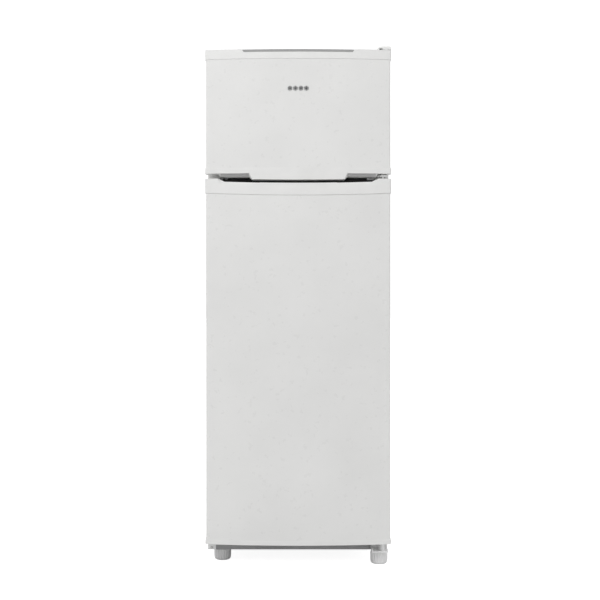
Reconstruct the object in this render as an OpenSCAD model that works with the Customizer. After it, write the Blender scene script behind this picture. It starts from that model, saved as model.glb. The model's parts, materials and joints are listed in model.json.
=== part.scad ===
// Two-door refrigerator with the freezer on top, doors hinged on the right.
// Millimetres. Z is up, the doors face -Y, and the origin is on the floor under the middle of the whole.

/* [Overall] */
// Width over the moulded door end caps
overall_w = 616; // [600:2:640]
// Depth from the crown of the doors to the rear wall spacers
overall_d = 690; // [684:2:710]
// Height of the freezer door's top edge
door_top = 1707; // [1690:1:1760]
// Height of the middle of the gap between the two doors
split_z = 1290; // [1270:1:1300]

/* [Doors] */
// How far the middle of a door stands in front of its side edges
bow = 22; // [16:1:26]
// Thickness of a door at its side edges
door_t = 42; // [40:1:46]
// Gap between the doors and the cabinet, filled by the gasket
gasket_gap = 14; // [14:1:16]
// How far each end cap stands out past the side of the door's steel skin
cap_over = 3; // [2:0.5:3]
// Sag of the trim lines between the doors, at the middle of the door
trim_sag = 8.2; // [6:0.1:10]
// Distance from the side of a door to its hinge axis
hinge_in = 24; // [22:1:26]
// Radius of the hinge pins
pin_r = 4; // [3:0.5:5]

/* [Cabinet] */
// Insulated wall thickness at the sides
side_wall = 50; // [48:1:54]
// Insulated wall thickness at the back
back_wall = 50; // [46:1:54]
// Sheet steel thickness
sheet = 1; // [0.8:0.1:1.2]
// Thickness of the moulded plastic liners
liner_t = 2; // [1.6:0.2:2.4]
// Height of the underside of the base rails
base_z = 42; // [40:1:48]

/* [Inside] */
// Thickness of the glass shelves
glass_t = 4; // [3:0.5:5]
// Number of adjustable glass shelves
shelf_count = 3; // [2:1:4]
// Number of support ledges moulded into each side of the liner
ledge_count = 9; // [7:1:10]

/* [Feet] */
// Outside radius of the levelling feet
foot_r = 29; // [24:1:30]
// Number of grip flutes around a levelling foot
foot_flutes = 18; // [12:1:24]
// Radius of the rear rollers
roller_r = 22; // [18:1:22]

/* [Hidden] */
$fn = 48;
eps = 0.01;
slit = 0.02; // Hairline gap between solids of one sub-part

// Plan of the doors, seen from above
skin_half = overall_w / 2 - cap_over;
crown_y = -overall_d / 2 + 1;
bow_r = (skin_half * skin_half + bow * bow) / (2 * bow);
door_back = crown_y + bow + door_t;
front_y = door_back + gasket_gap;
hinge_x = skin_half - hinge_in;
hinge_y = door_back - 22;
hinge_at = [hinge_x, hinge_y];

// Heights of the doors
door_gap_half = 8.5;
fridge_top = split_z - door_gap_half;
freezer_low = split_z + door_gap_half;
fridge_low = base_z + 31;
top_seam = door_top - 31.3;
freezer_seam = freezer_low + 18.5;
fridge_seam = fridge_top - 47.5;
low_seam = fridge_low + 15;
grip_x0 = 157;
grip_x1 = 265;
lip_drop = 13.5;
slope_w = 22;

// Cabinet box
cab_half = overall_w / 2 - 5;
cab_top = door_top + 2;
cab_rear = overall_d / 2 - 49;
cab_low = base_z + 21;
cav_half = cab_half - side_wall;
rim = 9;
freezer_floor = split_z + 34;
freezer_roof = cab_top - 55;
fridge_roof = split_z - 34;
fridge_floor = cab_low + 52;
cav_back = cab_rear - back_wall;
step_y = 84;
step_z = fridge_floor + 200;
comp_y = step_y + 42;
comp_z = step_z - 46;

// Inside the cabinet
shelf_front = front_y + 138;
shelf_back = cav_back - 24;
ledge_w = 6;
ledge_h = 8;
crisper_top = step_z;
first_ledge = crisper_top + 130;
ledge_pitch = (fridge_roof - 190 - first_ledge) / (ledge_count - 1);

// Door inner mouldings
dyke_half = cav_half - 8;
dyke_t = 14;
pan_y = door_back + 12;
bin_half = dyke_half - dyke_t - 3;
bin_wall = 2.2;
bin_back = pan_y + liner_t + 1;
fridge_bin_depth = 95;
freezer_bin_depth = 62;

// Feet, rollers and hinges
right_foot = [hinge_x - 10.5, hinge_y + 26];
left_foot = [-(skin_half - 48), hinge_y + 81];
foot_h = base_z;
left_foot_h = base_z + 4;
frame_z = base_z + 5;
stud_r = 5;
roller_x = cab_half - 46;
roller_y = cab_rear - 42;
rail_w = 50;

// ---------- shared shapes ----------

// A box from corner a to corner b.
module slab(a, b) {
    translate(a) cube(b - a);
}

// A profile drawn in X and Z, run from y0 to y1.
module along_y(y0, y1) {
    translate([0, y1, 0]) rotate([90, 0, 0]) linear_extrude(y1 - y0) children();
}

// A profile drawn in Y and Z, run from x0 to x1.
module along_x(x0, x1) {
    translate([x0, 0, 0]) rotate([90, 0, 90]) linear_extrude(x1 - x0) children();
}

// A profile drawn in X and Y, run from z0 to z1.
module along_z(z0, z1) {
    translate([0, 0, z0]) linear_extrude(z1 - z0) children();
}

// The same shape on the right and on the left.
module both_sides() {
    children();
    mirror([1, 0, 0]) children();
}

function arc(c, r, a0, a1, n) =
    [for (i = [0:n]) let (a = a0 + (a1 - a0) * i / n) c + r * [cos(a), sin(a)]];

// Outline of a rectangle with round corners.
function round_rect(a, b, r, n = 6) = concat(
    arc([b[0] - r, a[1] + r], r, -90, 0, n), arc([b[0] - r, b[1] - r], r, 0, 90, n),
    arc([a[0] + r, b[1] - r], r, 90, 180, n), arc([a[0] + r, a[1] + r], r, 180, 270, n)
);

// Plan of a bowed door: flat at the back, and an arc across the front that is set in by inset.
function door_plan(half, inset, back, r_front, r_back) =
    let (r = bow_r - inset)
    let (cy = crown_y + bow_r)
    let (xc = half - r_front)
    let (phi = asin(xc / (r - r_front)))
    let (yc = cy - (r - r_front) * cos(phi))
    let (n = 28)
    concat(
        arc([-half + r_back, back - r_back], r_back, 90, 180, 4),
        arc([-xc, yc], r_front, 180, 270 - phi, 5),
        [for (i = [1:n - 1]) let (t = phi * (2 * i / n - 1)) [r * sin(t), cy - r * cos(t)]],
        arc([xc, yc], r_front, 270 + phi, 360, 5),
        arc([half - r_back, back - r_back], r_back, 0, 90, 4)
    );

module door_block(half, inset, back, z0, z1, r_front = 6, r_back = 5) {
    along_z(z0, z1) polygon(door_plan(half, inset, back, r_front, r_back));
}

// A trim line that sags by trim_sag in the middle of the door.
function sag_z(z, x) = z - trim_sag * (1 - pow(x / skin_half, 2));
function sag_line(z, x0, x1, n = 10) =
    [for (i = [0:n]) let (x = x0 + (x1 - x0) * i / n) [x, sag_z(z, x)]];

// A straight round bar or tube run between two points that share two coordinates.
module bar(a, b, r) {
    d = b - a;
    turn = d[0] != 0 ? [0, sign(d[0]) * 90, 0]
        : d[1] != 0 ? [-sign(d[1]) * 90, 0, 0]
        : [d[2] < 0 ? 180 : 0, 0, 0];
    translate(a) rotate(turn) cylinder(r = r, h = norm(d));
}

// A quarter-turn elbow at corner p of a tube that comes in along u and leaves along v.
module elbow(p, u, v, r_bend, r) {
    w = cross(u, v);
    c = p - r_bend * u + r_bend * v;
    multmatrix([
        [u[0], -v[0], -w[0], c[0]],
        [u[1], -v[1], -w[1], c[1]],
        [u[2], -v[2], -w[2], c[2]],
        [0, 0, 0, 1]
    ])
        mirror([0, 0, 1]) rotate_extrude(angle = 90) translate([r_bend, 0]) circle(r);
}

function unit(v) = v / norm(v);

// A tube through points joined by straight runs along X, Y or Z, with a round elbow at each corner.
module tube_run(pts, r, r_bend) {
    last = len(pts) - 1;
    for (i = [0:last - 1]) {
        u = unit(pts[i + 1] - pts[i]);
        a = pts[i] + (i == 0 ? 0 : r_bend) * u;
        b = pts[i + 1] - (i == last - 1 ? 0 : r_bend) * u;
        bar(a, b, r);
    }
    for (i = [1:last - 1])
        elbow(pts[i], unit(pts[i] - pts[i - 1]), unit(pts[i + 1] - pts[i]), r_bend, r);
}

// An open-topped tray: outer corners a and b, wall w, with sides of equal height.
module tray(a, b, w) {
    difference() {
        slab(a, b);
        slab(a + [w, w, w], b + [-w, -w, 1]);
    }
}

// ---------- cabinet ----------

function cabinet_outline(inset) = round_rect(
    [-cab_half + inset, cab_low - 20], [cab_half - inset, cab_top - inset], 8 - inset
);

module cabinet_shell() {
    color("white") difference() {
        union() {
            along_y(front_y, cab_rear) difference() {
                polygon(cabinet_outline(0));
                polygon(cabinet_outline(sheet));
            }
            along_y(front_y, front_y + sheet) polygon(cabinet_outline(eps));
        }
        slab([-cab_half - 1, front_y - 1, 0], [cab_half + 1, cab_rear + 1, cab_low]);
        slab(
            [-cav_half - rim, front_y - 1, fridge_floor - rim],
            [cav_half + rim, front_y + 2, freezer_roof + rim]
        );
    }
}

module back_panel() {
    color("lightgray") along_y(cab_rear - sheet, cab_rear)
        polygon(round_rect([-cab_half + sheet, comp_z + sheet], [cab_half - sheet, cab_top - sheet], 8));
}

// The folded sheet under the cabinet, which steps up over the compressor.
module bottom_panel() {
    color("lightgray") difference() {
        along_x(-cab_half + sheet, cab_half - sheet) polygon([
            [front_y + sheet, cab_low], [comp_y + sheet, cab_low], [comp_y + sheet, comp_z],
            [cab_rear, comp_z], [cab_rear, comp_z + sheet], [comp_y, comp_z + sheet],
            [comp_y, cab_low + sheet], [front_y + sheet, cab_low + sheet]
        ]);
        drain_hose_solid(6);
    }
}

// The liners' walls and rims, grown by t from the storage space.
module freezer_space(t) {
    along_y(front_y - 1, cav_back + t)
        polygon(round_rect([-cav_half - t, freezer_floor - t], [cav_half + t, freezer_roof + t], 14 + t));
}

module fridge_space(t) {
    intersection() {
        along_y(front_y - 1, cav_back + t)
            polygon(round_rect([-cav_half - t, fridge_floor - t], [cav_half + t, fridge_roof + t], 14 + t));
        along_x(-cav_half - 20, cav_half + 20) polygon([
            [front_y - 2, fridge_floor - t - 1], [step_y + t, fridge_floor - t - 1],
            [step_y + t, step_z - 12 - t], [step_y + 12 + t, step_z - t], [cav_back + t + 1, step_z - t],
            [cav_back + t + 1, fridge_roof + t + 1], [front_y - 2, fridge_roof + t + 1]
        ]);
    }
}

module liner_rim(z0, z1) {
    slab([-cav_half - rim, front_y, z0 - rim], [cav_half + rim, front_y + liner_t, z1 + rim]);
}

// Foam in flat slabs round the liners, with hairline slits between them.
// Behind the drawers it steps up over the compressor, and a slot is left for the drain hose.
module cabinet_insulation() {
    xi = cav_half + liner_t;
    xo = cab_half - sheet;
    yf = front_y + liner_t;
    yb = cab_rear - sheet;
    yi = cav_back + liner_t;
    ys = step_y + liner_t;
    z_base = cab_low + sheet;
    z_roof = cab_top - sheet;
    z_bay = comp_z + sheet;
    z_floor = fridge_floor - liner_t;
    z_step = step_z - liner_t;
    z_mid0 = fridge_roof + liner_t;
    z_mid1 = freezer_floor - liner_t;
    z_top = freezer_roof + liner_t;
    z_drain = step_z + 21;
    slot = [drain_x - 6.1, drain_x + 6.1];
    hose_y = cav_back + 26;
    color("khaki") {
        both_sides() {
            slab([xi, yf, z_base], [xo, comp_y, z_bay - slit]);
            along_y(yf, yb)
                polygon([[xi, z_bay], [xo, z_bay], [xo, z_roof - 8], [xo - 8, z_roof], [xi, z_roof]]);
        }
        slab([-xi + slit, yf, z_top], [xi - slit, yb, z_roof]);
        slab([-xi + slit, yi + 1.5, z_mid1], [xi - slit, yb, z_top - slit]);
        slab([-xi + slit, yf, z_mid0], [xi - slit, yb, z_mid1 - slit]);
        slab([-xi + slit, yi, z_drain], [xi - slit, yb, z_mid0 - slit]);
        slab([-xi + slit, yf, z_base], [xi - slit, comp_y, z_floor - slit]);
        along_x(-xi + slit, xi - slit)
            polygon([[ys, z_floor], [comp_y, z_floor], [comp_y, z_step], [ys + 12, z_step], [ys, z_step - 12]]);
        for (x = [[-xi + slit, slot[0]], [slot[1], xi - slit]]) {
            slab([x[0], comp_y + slit, z_bay], [x[1], yb, z_step - slit]);
            slab([x[0], yi, z_step], [x[1], yb, z_drain - slit]);
        }
        slab([slot[0] + slit, comp_y + slit, z_bay], [slot[1] - slit, hose_y - 6.1, z_step - slit]);
        slab([slot[0] + slit, hose_y + 6.1, z_bay], [slot[1] - slit, yb, z_drain - slit]);
    }
}

module freezer_liner() {
    z = freezer_shelf_z - 2.5;
    color("whitesmoke") {
        difference() {
            union() {
                liner_rim(freezer_floor, freezer_roof);
                intersection() {
                    freezer_space(liner_t);
                    slab([-400, front_y, 0], [400, 400, 2000]);
                }
            }
            freezer_space(0);
        }
        both_sides()
            slab([cav_half - 12, shelf_front - 14, z - ledge_h], [cav_half + 1, cav_back - 34, z]);
    }
}

function ledge_z(i) = first_ledge + i * ledge_pitch;

module fridge_liner() {
    color("whitesmoke") {
        difference() {
            union() {
                liner_rim(fridge_floor, fridge_roof);
                intersection() {
                    fridge_space(liner_t);
                    slab([-400, front_y, 0], [400, 400, 2000]);
                }
            }
            fridge_space(0);
            drain_hose_solid(6);
        }
        both_sides() {
            for (z = concat([for (i = [0:ledge_count - 1]) ledge_z(i)], [crisper_top + ledge_h]))
                slab([cav_half - ledge_w, shelf_front + 8, z - ledge_h], [cav_half + 1, shelf_back, z]);
            slab(
                [cav_half - 9, shelf_front + 16, chill_rim - 11.3],
                [cav_half + 1, cav_back - 60, chill_rim - 3.3]
            );
        }
        difference() {
            translate(switch_at) slab([-9, 6.6, -13], [10, 34, 13]);
            translate(switch_at) rotate([-90, 0, 0]) cylinder(r = 2.4, h = 24);
        }
    }
}

module mullion_rail() {
    color("dimgray") slab(
        [-cav_half - rim, front_y, fridge_roof + rim], [cav_half + rim, front_y + liner_t, freezer_floor - rim]
    );
}

// ---------- base ----------

module front_base_rail() {
    color("dimgray") difference() {
        slab([-cab_half, front_y - 2, base_z], [cab_half, front_y + 14, cab_low + 13]);
        slab([-cab_half - 1, front_y, cab_low - 2], [cab_half + 1, front_y + 15, cab_low + 14]);
        slab([-cab_half + 2, front_y, base_z - 1], [cab_half - 2, front_y + 12, cab_low - 4]);
        slab([hinge_x - 38, front_y - 3, base_z - 1], [cab_half + 1, front_y + 15, cab_low + 14]);
    }
}

module base_corner_plate() {
    color("lightgray") difference() {
        slab([-cab_half, front_y - 5, base_z + 1], [-cab_half + 27, front_y - 2, cab_low + 8]);
        for (z = [base_z + 8, cab_low + 1])
            translate([-cab_half + 13, front_y - 6, z]) rotate([-90, 0, 0]) cylinder(r = 2.6, h = 5);
    }
}

// Two inverted channels under the cabinet, a cross bar behind the front rail, and the compressor's tray.
module base_frame() {
    x0 = cab_half - 21 - rail_w;
    y0 = comp_y + 14;
    color("gray") {
        difference() {
            union() {
                both_sides() slab([x0, front_y + 14, frame_z], [x0 + rail_w, cab_rear - 6, cab_low]);
                slab([-x0, front_y + 60, cab_low - 14], [x0, front_y + 84, cab_low]);
            }
            both_sides() slab([x0 + 2, front_y + 13, base_z - 1], [x0 + rail_w - 2, cab_rear - 5, cab_low - 2]);
            slab([-x0 - 2, front_y + 62, base_z], [x0 + 2, front_y + 82, cab_low - 2]);
        }
        difference() {
            translate([left_foot[0], left_foot[1], frame_z]) cylinder(r = 9, h = cab_low - 2 - frame_z);
            translate([left_foot[0], left_foot[1], base_z]) cylinder(r = stud_r + 0.1, h = 30);
        }
        difference() {
            union() {
                slab([-x0, y0, base_z + 6], [x0, cab_rear - 6, base_z + 8]);
                slab([-x0, cab_rear - 8, base_z + 6], [x0, cab_rear - 6, base_z + 32]);
                slab([-x0, y0, base_z + 6], [x0, y0 + 2, cab_low]);
            }
            for (p = foot_pads) translate([p[0], p[1], base_z]) cylinder(r = 4.2, h = 20);
            translate(gland_at - [0, 10, 0]) rotate([-90, 0, 0]) cylinder(r = 8, h = 30);
        }
    }
}

// ---------- cooling circuit ----------

comp_at = [-40, cab_rear - 86];
comp_r = 72;
comp_base = base_z + 22;
comp_seam = comp_base + 78;
comp_h = comp_base + 152;
foot_pads = [for (sx = [-1, 1], sy = [-1, 1]) [comp_at[0] + sx * 88, comp_at[1] + sy * 55]];
ports = [[comp_at[0] - 35, comp_at[1] + 44], [comp_at[0] + 40, comp_at[1] + 38]];
port_z = comp_h - 3;
gland_at = [150, cab_rear - 6, base_z + 18];

module compressor() {
    dome = 40;
    color([0.08, 0.08, 0.09]) {
        translate([comp_at[0], comp_at[1], 0]) rotate_extrude($fn = 64) polygon(concat(
            [[0, comp_base]],
            [for (a = [-80:10:0]) [comp_r - 18 + 18 * cos(a), comp_base + 18 + 18 * sin(a)]],
            [[comp_r, comp_seam - 4], [comp_r + 5, comp_seam - 4]],
            [[comp_r + 5, comp_seam + 3], [comp_r - 2, comp_seam + 3]],
            [for (a = [0:10:80]) [comp_r - 2 - dome + dome * cos(a), comp_h - dome + dome * sin(a)]],
            [[0, comp_h]]
        ));
        for (p = ports) translate([p[0], p[1], comp_seam]) cylinder(r = 5, h = port_z - comp_seam);
        translate([comp_at[0], comp_at[1], comp_base]) slab([40, -18, 34], [comp_r + 6, 18, 70]);
        difference() {
            translate([comp_at[0], comp_at[1], comp_base]) slab([-100, -66, -3], [100, 66, 1]);
            for (p = foot_pads) translate([p[0], p[1], comp_base - 10]) cylinder(r = 8.5, h = 20);
        }
    }
}

module compressor_grommets() {
    lift = comp_base - base_z - 8;
    color([0.15, 0.15, 0.15]) for (p = foot_pads) translate([p[0], p[1], base_z + 8]) rotate_extrude() polygon([
        [4.2, 0], [12, 0], [12, lift - 3.05], [8.4, lift - 3.05],
        [8.4, lift + 1.05], [11, lift + 1.05], [10, lift + 6], [4.2, lift + 6]
    ]);
}

module relay_cover() {
    x0 = comp_at[0] + comp_r + 6;
    color([0.12, 0.12, 0.12]) along_z(comp_base + 24, comp_base + 88)
        polygon(round_rect([x0, comp_at[1] - 30], [x0 + 34, comp_at[1] + 30], 7));
}

cond_y = cab_rear + 20;
cond_half = 232;
cond_low = comp_z + 150;
cond_rows = 18;
cond_pitch = 62;
tube_r = 2.6;
function row_z(i) = cond_low + i * cond_pitch;
drier_at = [215, cab_rear + 14, comp_z - 62];

// One long tube that runs from side to side up the back.
module condenser_coil() {
    bend = cond_pitch / 2;
    color([0.1, 0.1, 0.1]) {
        for (i = [0:cond_rows - 1])
            bar([-cond_half + bend, cond_y, row_z(i)], [cond_half - bend, cond_y, row_z(i)], tube_r);
        for (i = [0:cond_rows - 2]) {
            side = i % 2 == 0 ? 1 : -1;
            translate([side * (cond_half - bend), cond_y, row_z(i) + bend])
                rotate([90, 0, 0]) rotate([0, 0, side > 0 ? -90 : 90])
                    rotate_extrude(angle = 180) translate([bend, 0]) circle(tube_r);
        }
    }
}

wire_r = 0.9;
wire_count = 29;

module condenser_wires() {
    reach = tube_r + wire_r + 0.02;
    pitch = 2 * (cond_half - 40) / (wire_count - 1);
    color([0.1, 0.1, 0.1]) for (i = [0:wire_count - 1], s = [-1, 1])
        translate([-cond_half + 40 + i * pitch, cond_y + s * reach, row_z(0) - 16])
            cylinder(r = wire_r, h = row_z(cond_rows - 1) - row_z(0) + 32, $fn = 16);
}

module condenser_brackets() {
    color([0.15, 0.15, 0.15]) both_sides() for (i = [2, cond_rows - 4])
        difference() {
            slab([cond_half - 38, cab_rear, row_z(i) - 9], [cond_half - 32, cond_y + 8, row_z(i) + 9]);
            translate([cond_half - 60, cond_y, row_z(i)]) rotate([0, 90, 0]) cylinder(r = tube_r + 0.1, h = 60);
        }
}

module filter_drier() {
    translate(drier_at) {
        cylinder(r = 8, h = 80);
        translate([0, 0, 80]) cylinder(r1 = 8, r2 = 3.4, h = 12);
        translate([0, 0, -12]) cylinder(r1 = 3.4, r2 = 8, h = 12);
    }
}

// Discharge line to the coil, coil to the loop round the front frame, loop to the drier,
// capillary from the drier, and suction line from the evaporators.
module refrigerant_tubes() {
    top_row = row_z(cond_rows - 1);
    up = port_z + 20;
    color("peru") {
        filter_drier();
        tube_run([
            [ports[0][0], ports[0][1], port_z], [ports[0][0], ports[0][1], up],
            [ports[0][0], cond_y, up], [-190, cond_y, up], [-190, cond_y, row_z(0) - 24],
            [-cond_half + 8, cond_y, row_z(0) - 24], [-cond_half + 8, cond_y, row_z(0)],
            [-cond_half + cond_pitch / 2, cond_y, row_z(0)]
        ], tube_r, 8);
        tube_run([
            [-cond_half + cond_pitch / 2, cond_y, top_row], [-cond_half + 12, cond_y, top_row],
            [-cond_half + 12, cab_rear + 0.1, top_row]
        ], tube_r, 8);
        tube_run([
            [drier_at[0], drier_at[1], drier_at[2] + 91.9], [drier_at[0], drier_at[1], row_z(0) - 40],
            [cond_half + 14, drier_at[1], row_z(0) - 40], [cond_half + 14, drier_at[1], top_row],
            [cond_half + 14, cab_rear + 0.1, top_row]
        ], tube_r, 8);
        tube_run([
            [drier_at[0], drier_at[1], drier_at[2] - 11.9], [drier_at[0], drier_at[1], drier_at[2] - 36],
            [drier_at[0] - 40, drier_at[1], drier_at[2] - 36], [drier_at[0] - 40, drier_at[1], comp_z - 20],
            [drier_at[0] - 40, cab_rear - 40, comp_z - 20], [drier_at[0] - 40, cab_rear - 40, comp_z - 0.1]
        ], 1.2, 8);
        tube_run([
            [ports[1][0], ports[1][1], port_z], [ports[1][0], ports[1][1], up + 6],
            [ports[1][0], cab_rear - 20, up + 6], [ports[1][0], cab_rear - 20, comp_z - 0.1]
        ], 3.6, 9);
    }
}

module drip_pan() {
    a = [-230, comp_y + 6, comp_z - 40];
    b = [-120, cab_rear - 14, comp_z - 2];
    color([0.12, 0.12, 0.12]) tray(a, b, 2);
}

drain_x = -175;

// The drain from the gutter behind the shelves, down through the back wall to the drip pan.
module drain_hose_solid(r) {
    tube_run([
        [drain_x, cav_back - 3, step_z + 14], [drain_x, cav_back + 26, step_z + 14],
        [drain_x, cav_back + 26, comp_z - 20]
    ], r, 12);
}

module drain_hose() {
    color("whitesmoke") difference() {
        drain_hose_solid(5.95);
        tube_run([
            [drain_x, cav_back - 13, step_z + 14], [drain_x, cav_back + 26, step_z + 14],
            [drain_x, cav_back + 26, comp_z - 30]
        ], 4, 12);
    }
}

module freezer_evaporator() {
    y = cav_back + liner_t;
    color("silver") slab([-200, y, freezer_floor + 20], [200, y + 1.45, freezer_roof - 20]);
}

// A plate with raised refrigerant channels, held off the back wall.
module fridge_evaporator() {
    y = cav_back - 14;
    z0 = fridge_roof - 480;
    z1 = fridge_roof - 190;
    color("silver") {
        slab([-180, y, z0], [180, y + 1.6, z1]);
        for (i = [0:6]) translate([-150, y, z0 + 24 + i * 40]) rotate([0, 90, 0]) cylinder(r = 3, h = 300);
        for (x = [-150, 150]) for (i = [0:2]) translate([x, y, z0 + 24 + (2 * i + (x < 0 ? 1 : 0)) * 40])
            cylinder(r = 3, h = 40);
        for (x = [-165, 165], z = [z0 + 20, z1 - 20])
            translate([x, y, z]) rotate([-90, 0, 0]) cylinder(r = 5, h = cav_back - y);
    }
}

module cord_gland() {
    color([0.1, 0.1, 0.1]) translate(gland_at) rotate([-90, 0, 0]) rotate_extrude() polygon([
        [4, -6], [7.9, -6], [7.9, 0], [12, 0], [12, 4], [9, 4], [6.5, 18], [4, 18]
    ]);
}

module wall_spacers() {
    depth = overall_d / 2 - cab_rear;
    color([0.12, 0.12, 0.12]) both_sides() translate([cab_half - 35, cab_rear, cab_top - 190]) difference() {
        along_z(0, 24) polygon([[-15, 0], [15, 0], [7, depth], [-7, depth]]);
        along_z(3, 21) polygon([[-11, -1], [11, -1], [4, depth - 4], [-4, depth - 4]]);
    }
}

// ---------- hinges ----------

hinge_t = 4;
arm_r = 13;

// A hinge arm's outline: straight sides and a round end about the hinge axis.
module arm_plan(y1, half = arm_r) {
    translate(hinge_at) circle(arm_r);
    translate([hinge_x - half, hinge_y]) square([2 * half, y1 - hinge_y]);
}

module top_hinge() {
    color("gainsboro") {
        difference() {
            along_z(cab_top, cab_top + hinge_t) arm_plan(front_y + 80);
            for (dy = [28, 60]) translate([hinge_x, front_y + dy, cab_top - 1]) cylinder(r = 3.2, h = 10);
        }
        translate([hinge_x, hinge_y, cab_top - 20]) cylinder(r = pin_r, h = 20 + hinge_t);
    }
}

cover_top = door_top + 19;

// Moulded cover: its roof slopes up to a ridge near the cabinet's side.
module top_hinge_cover() {
    x0 = hinge_x - 19;
    x1 = overall_w / 2;
    y0 = hinge_y - 17;
    y1 = front_y + 104;
    z0 = cab_top + 0.3;
    w = 2;
    color("white") difference() {
        intersection() {
            along_y(y0, y1) polygon([
                [x0, z0], [x1, z0], [x1, cover_top - 8], [x1 - 5, cover_top - 2.4], [x1 - 10, cover_top - 0.4],
                [x1 - 14, cover_top], [x1 - 19, cover_top - 1.4], [x0 + 4, z0 + 8.4], [x0, z0 + 5]
            ]);
            along_x(x0 - 1, x1 + 1) polygon([
                [y0, z0], [y1, z0], [y1, z0 + 8], [y1 - 14, cover_top - 2.4], [y1 - 22, cover_top],
                [y0 + 14, cover_top], [y0 + 5, cover_top - 3], [y0, cover_top - 8]
            ]);
        }
        intersection() {
            along_y(y0 + w, y1 - w) polygon([
                [x0 + w, z0 - 1], [x1 - w, z0 - 1], [x1 - w, z0 + 6.4], [x1 - 6, z0 + 11.5],
                [x1 - 12, z0 + 12.8], [x1 - 19, z0 + 12.6], [x0 + 5, z0 + 5.8], [x0 + w, z0 + 4.4]
            ]);
            along_x(x0, x1) polygon([
                [y0 + w, z0 - 1], [y1 - w, z0 - 1], [y1 - w, z0 + 6.4], [y1 - 14, z0 + 12],
                [y1 - 22, z0 + 14], [y0 + 14, z0 + 14], [y0 + 6, z0 + 11], [y0 + w, z0 + 6.4]
            ]);
        }
        slab([x0 + 7, y0 - 1, z0 - 1], [x0 + 18, y0 + w + 1, z0 + 4]);
    }
}

mid_z = split_z - 1;

module middle_hinge() {
    pin_low = fridge_top - 18;
    pin_high = freezer_low + 18;
    color("white") difference() {
        union() {
            along_z(mid_z, mid_z + 5) arm_plan(front_y, 17);
            slab([hinge_x - 50, front_y - 3, mid_z - 6.5], [hinge_x + 18, front_y, mid_z + 8]);
            translate([hinge_x, hinge_y, pin_low]) cylinder(r = pin_r, h = pin_high - pin_low);
        }
        for (dx = [-40, -24])
            translate([hinge_x + dx, front_y - 4, mid_z + 1]) rotate([-90, 0, 0]) cylinder(r = 2.7, h = 6);
    }
}

hinge_plate = base_z + 1;

// Angle plate under the right front corner: it carries the lower pin and the right foot.
module bottom_hinge() {
    x0 = right_foot[0] - 27;
    x1 = cab_half - 4;
    color("gainsboro") difference() {
        union() {
            slab([x0, hinge_y - 14, hinge_plate], [x1, front_y + 14, hinge_plate + 4]);
            slab([x0, front_y + 13, hinge_plate], [cab_half - 21, front_y + 70, hinge_plate + 4]);
            slab([x0, front_y - 3.9, hinge_plate], [x1, front_y, cab_low + 6]);
            slab([x0, hinge_y - 14, hinge_plate], [x0 + 3, front_y - 1, hinge_plate + 13]);
            translate([hinge_x, hinge_y, hinge_plate]) cylinder(r = pin_r, h = fridge_low + 20 - hinge_plate);
            translate([hinge_x, hinge_y, hinge_plate]) cylinder(r = 7, h = fridge_low - 2 - hinge_plate);
        }
        translate([right_foot[0], right_foot[1], hinge_plate - 1]) cylinder(r = stud_r + 0.1, h = 30);
    }
}

module screw(head_r, head_h, shank_r, shank) {
    difference() {
        union() {
            cylinder(r1 = head_r, r2 = head_r - 1, h = head_h);
            translate([0, 0, -shank]) cylinder(r = shank_r, h = shank + eps);
        }
        for (a = [0, 90])
            rotate([0, 0, a]) translate([-head_r * 0.6, -0.5, head_h - 1.2]) cube([head_r * 1.2, 1, 2]);
    }
}

module hinge_screws() {
    color("silver") {
        for (dy = [28, 60])
            translate([hinge_x, front_y + dy, cab_top + hinge_t]) screw(6, 3, 3, hinge_t);
        for (dx = [-40, -24])
            translate([hinge_x + dx, front_y - 3, mid_z + 1]) rotate([90, 0, 0]) screw(4.5, 2.4, 2.5, 3);
        for (z = [base_z + 8, cab_low + 1])
            translate([-cab_half + 13, front_y - 5, z]) rotate([90, 0, 0]) screw(4.5, 2.4, 2.4, 3);
    }
}

// Plugs in the holes on the left, where the doors can be hung the other way round.
module hinge_hole_plugs() {
    color("white") {
        for (dx = [24, 40])
            translate([-hinge_x + dx, front_y - 1.6, mid_z + 1]) rotate([-90, 0, 0]) cylinder(r = 6, h = 1.6);
        for (dy = [28, 60])
            translate([-hinge_x, front_y + dy, cab_top]) cylinder(r1 = 7, r2 = 6, h = 1.6);
    }
}

// ---------- feet and rollers ----------

// A fluted levelling foot with its threaded stud.
module levelling_foot(h, stud) {
    color("gainsboro") {
        difference() {
            rotate_extrude($fn = 72) polygon([
                [0, 0], [foot_r - 7, 0], [foot_r - 2.5, 3], [foot_r - 0.8, 8], [foot_r, h - 4],
                [foot_r - 1.5, h - 1.2], [foot_r - 4, h], [0, h]
            ]);
            for (i = [0:foot_flutes - 1]) rotate([0, 0, i * 360 / foot_flutes])
                translate([foot_r + 1.4, 0, 4]) cylinder(r = 2.4, h = h - 8, $fn = 24);
        }
        translate([0, 0, h - 1]) cylinder(r = stud_r, h = stud + 1);
    }
}

module front_left_foot() {
    translate([left_foot[0], left_foot[1], 0]) levelling_foot(left_foot_h, 14);
}

module front_right_foot() {
    translate([right_foot[0], right_foot[1], 0]) levelling_foot(foot_h, 16);
}

axle_r = 4;

module roller(x) {
    translate([x, roller_y, roller_r]) rotate([0, 90, 0]) {
        color([0.2, 0.2, 0.2]) difference() {
            translate([0, 0, -9]) rotate_extrude($fn = 64) polygon([
                [axle_r + 0.06, 0], [roller_r - 2, 0], [roller_r, 2],
                [roller_r, 16], [roller_r - 2, 18], [axle_r + 0.06, 18]
            ]);
            for (s = [-1, 1]) translate([0, 0, s * 9 - 2]) difference() {
                cylinder(r = roller_r - 5, h = 4);
                translate([0, 0, -1]) cylinder(r = axle_r + 4, h = 6);
            }
        }
    }
}

module rear_roller_left() { roller(-roller_x); }
module rear_roller_right() { roller(roller_x); }

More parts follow.
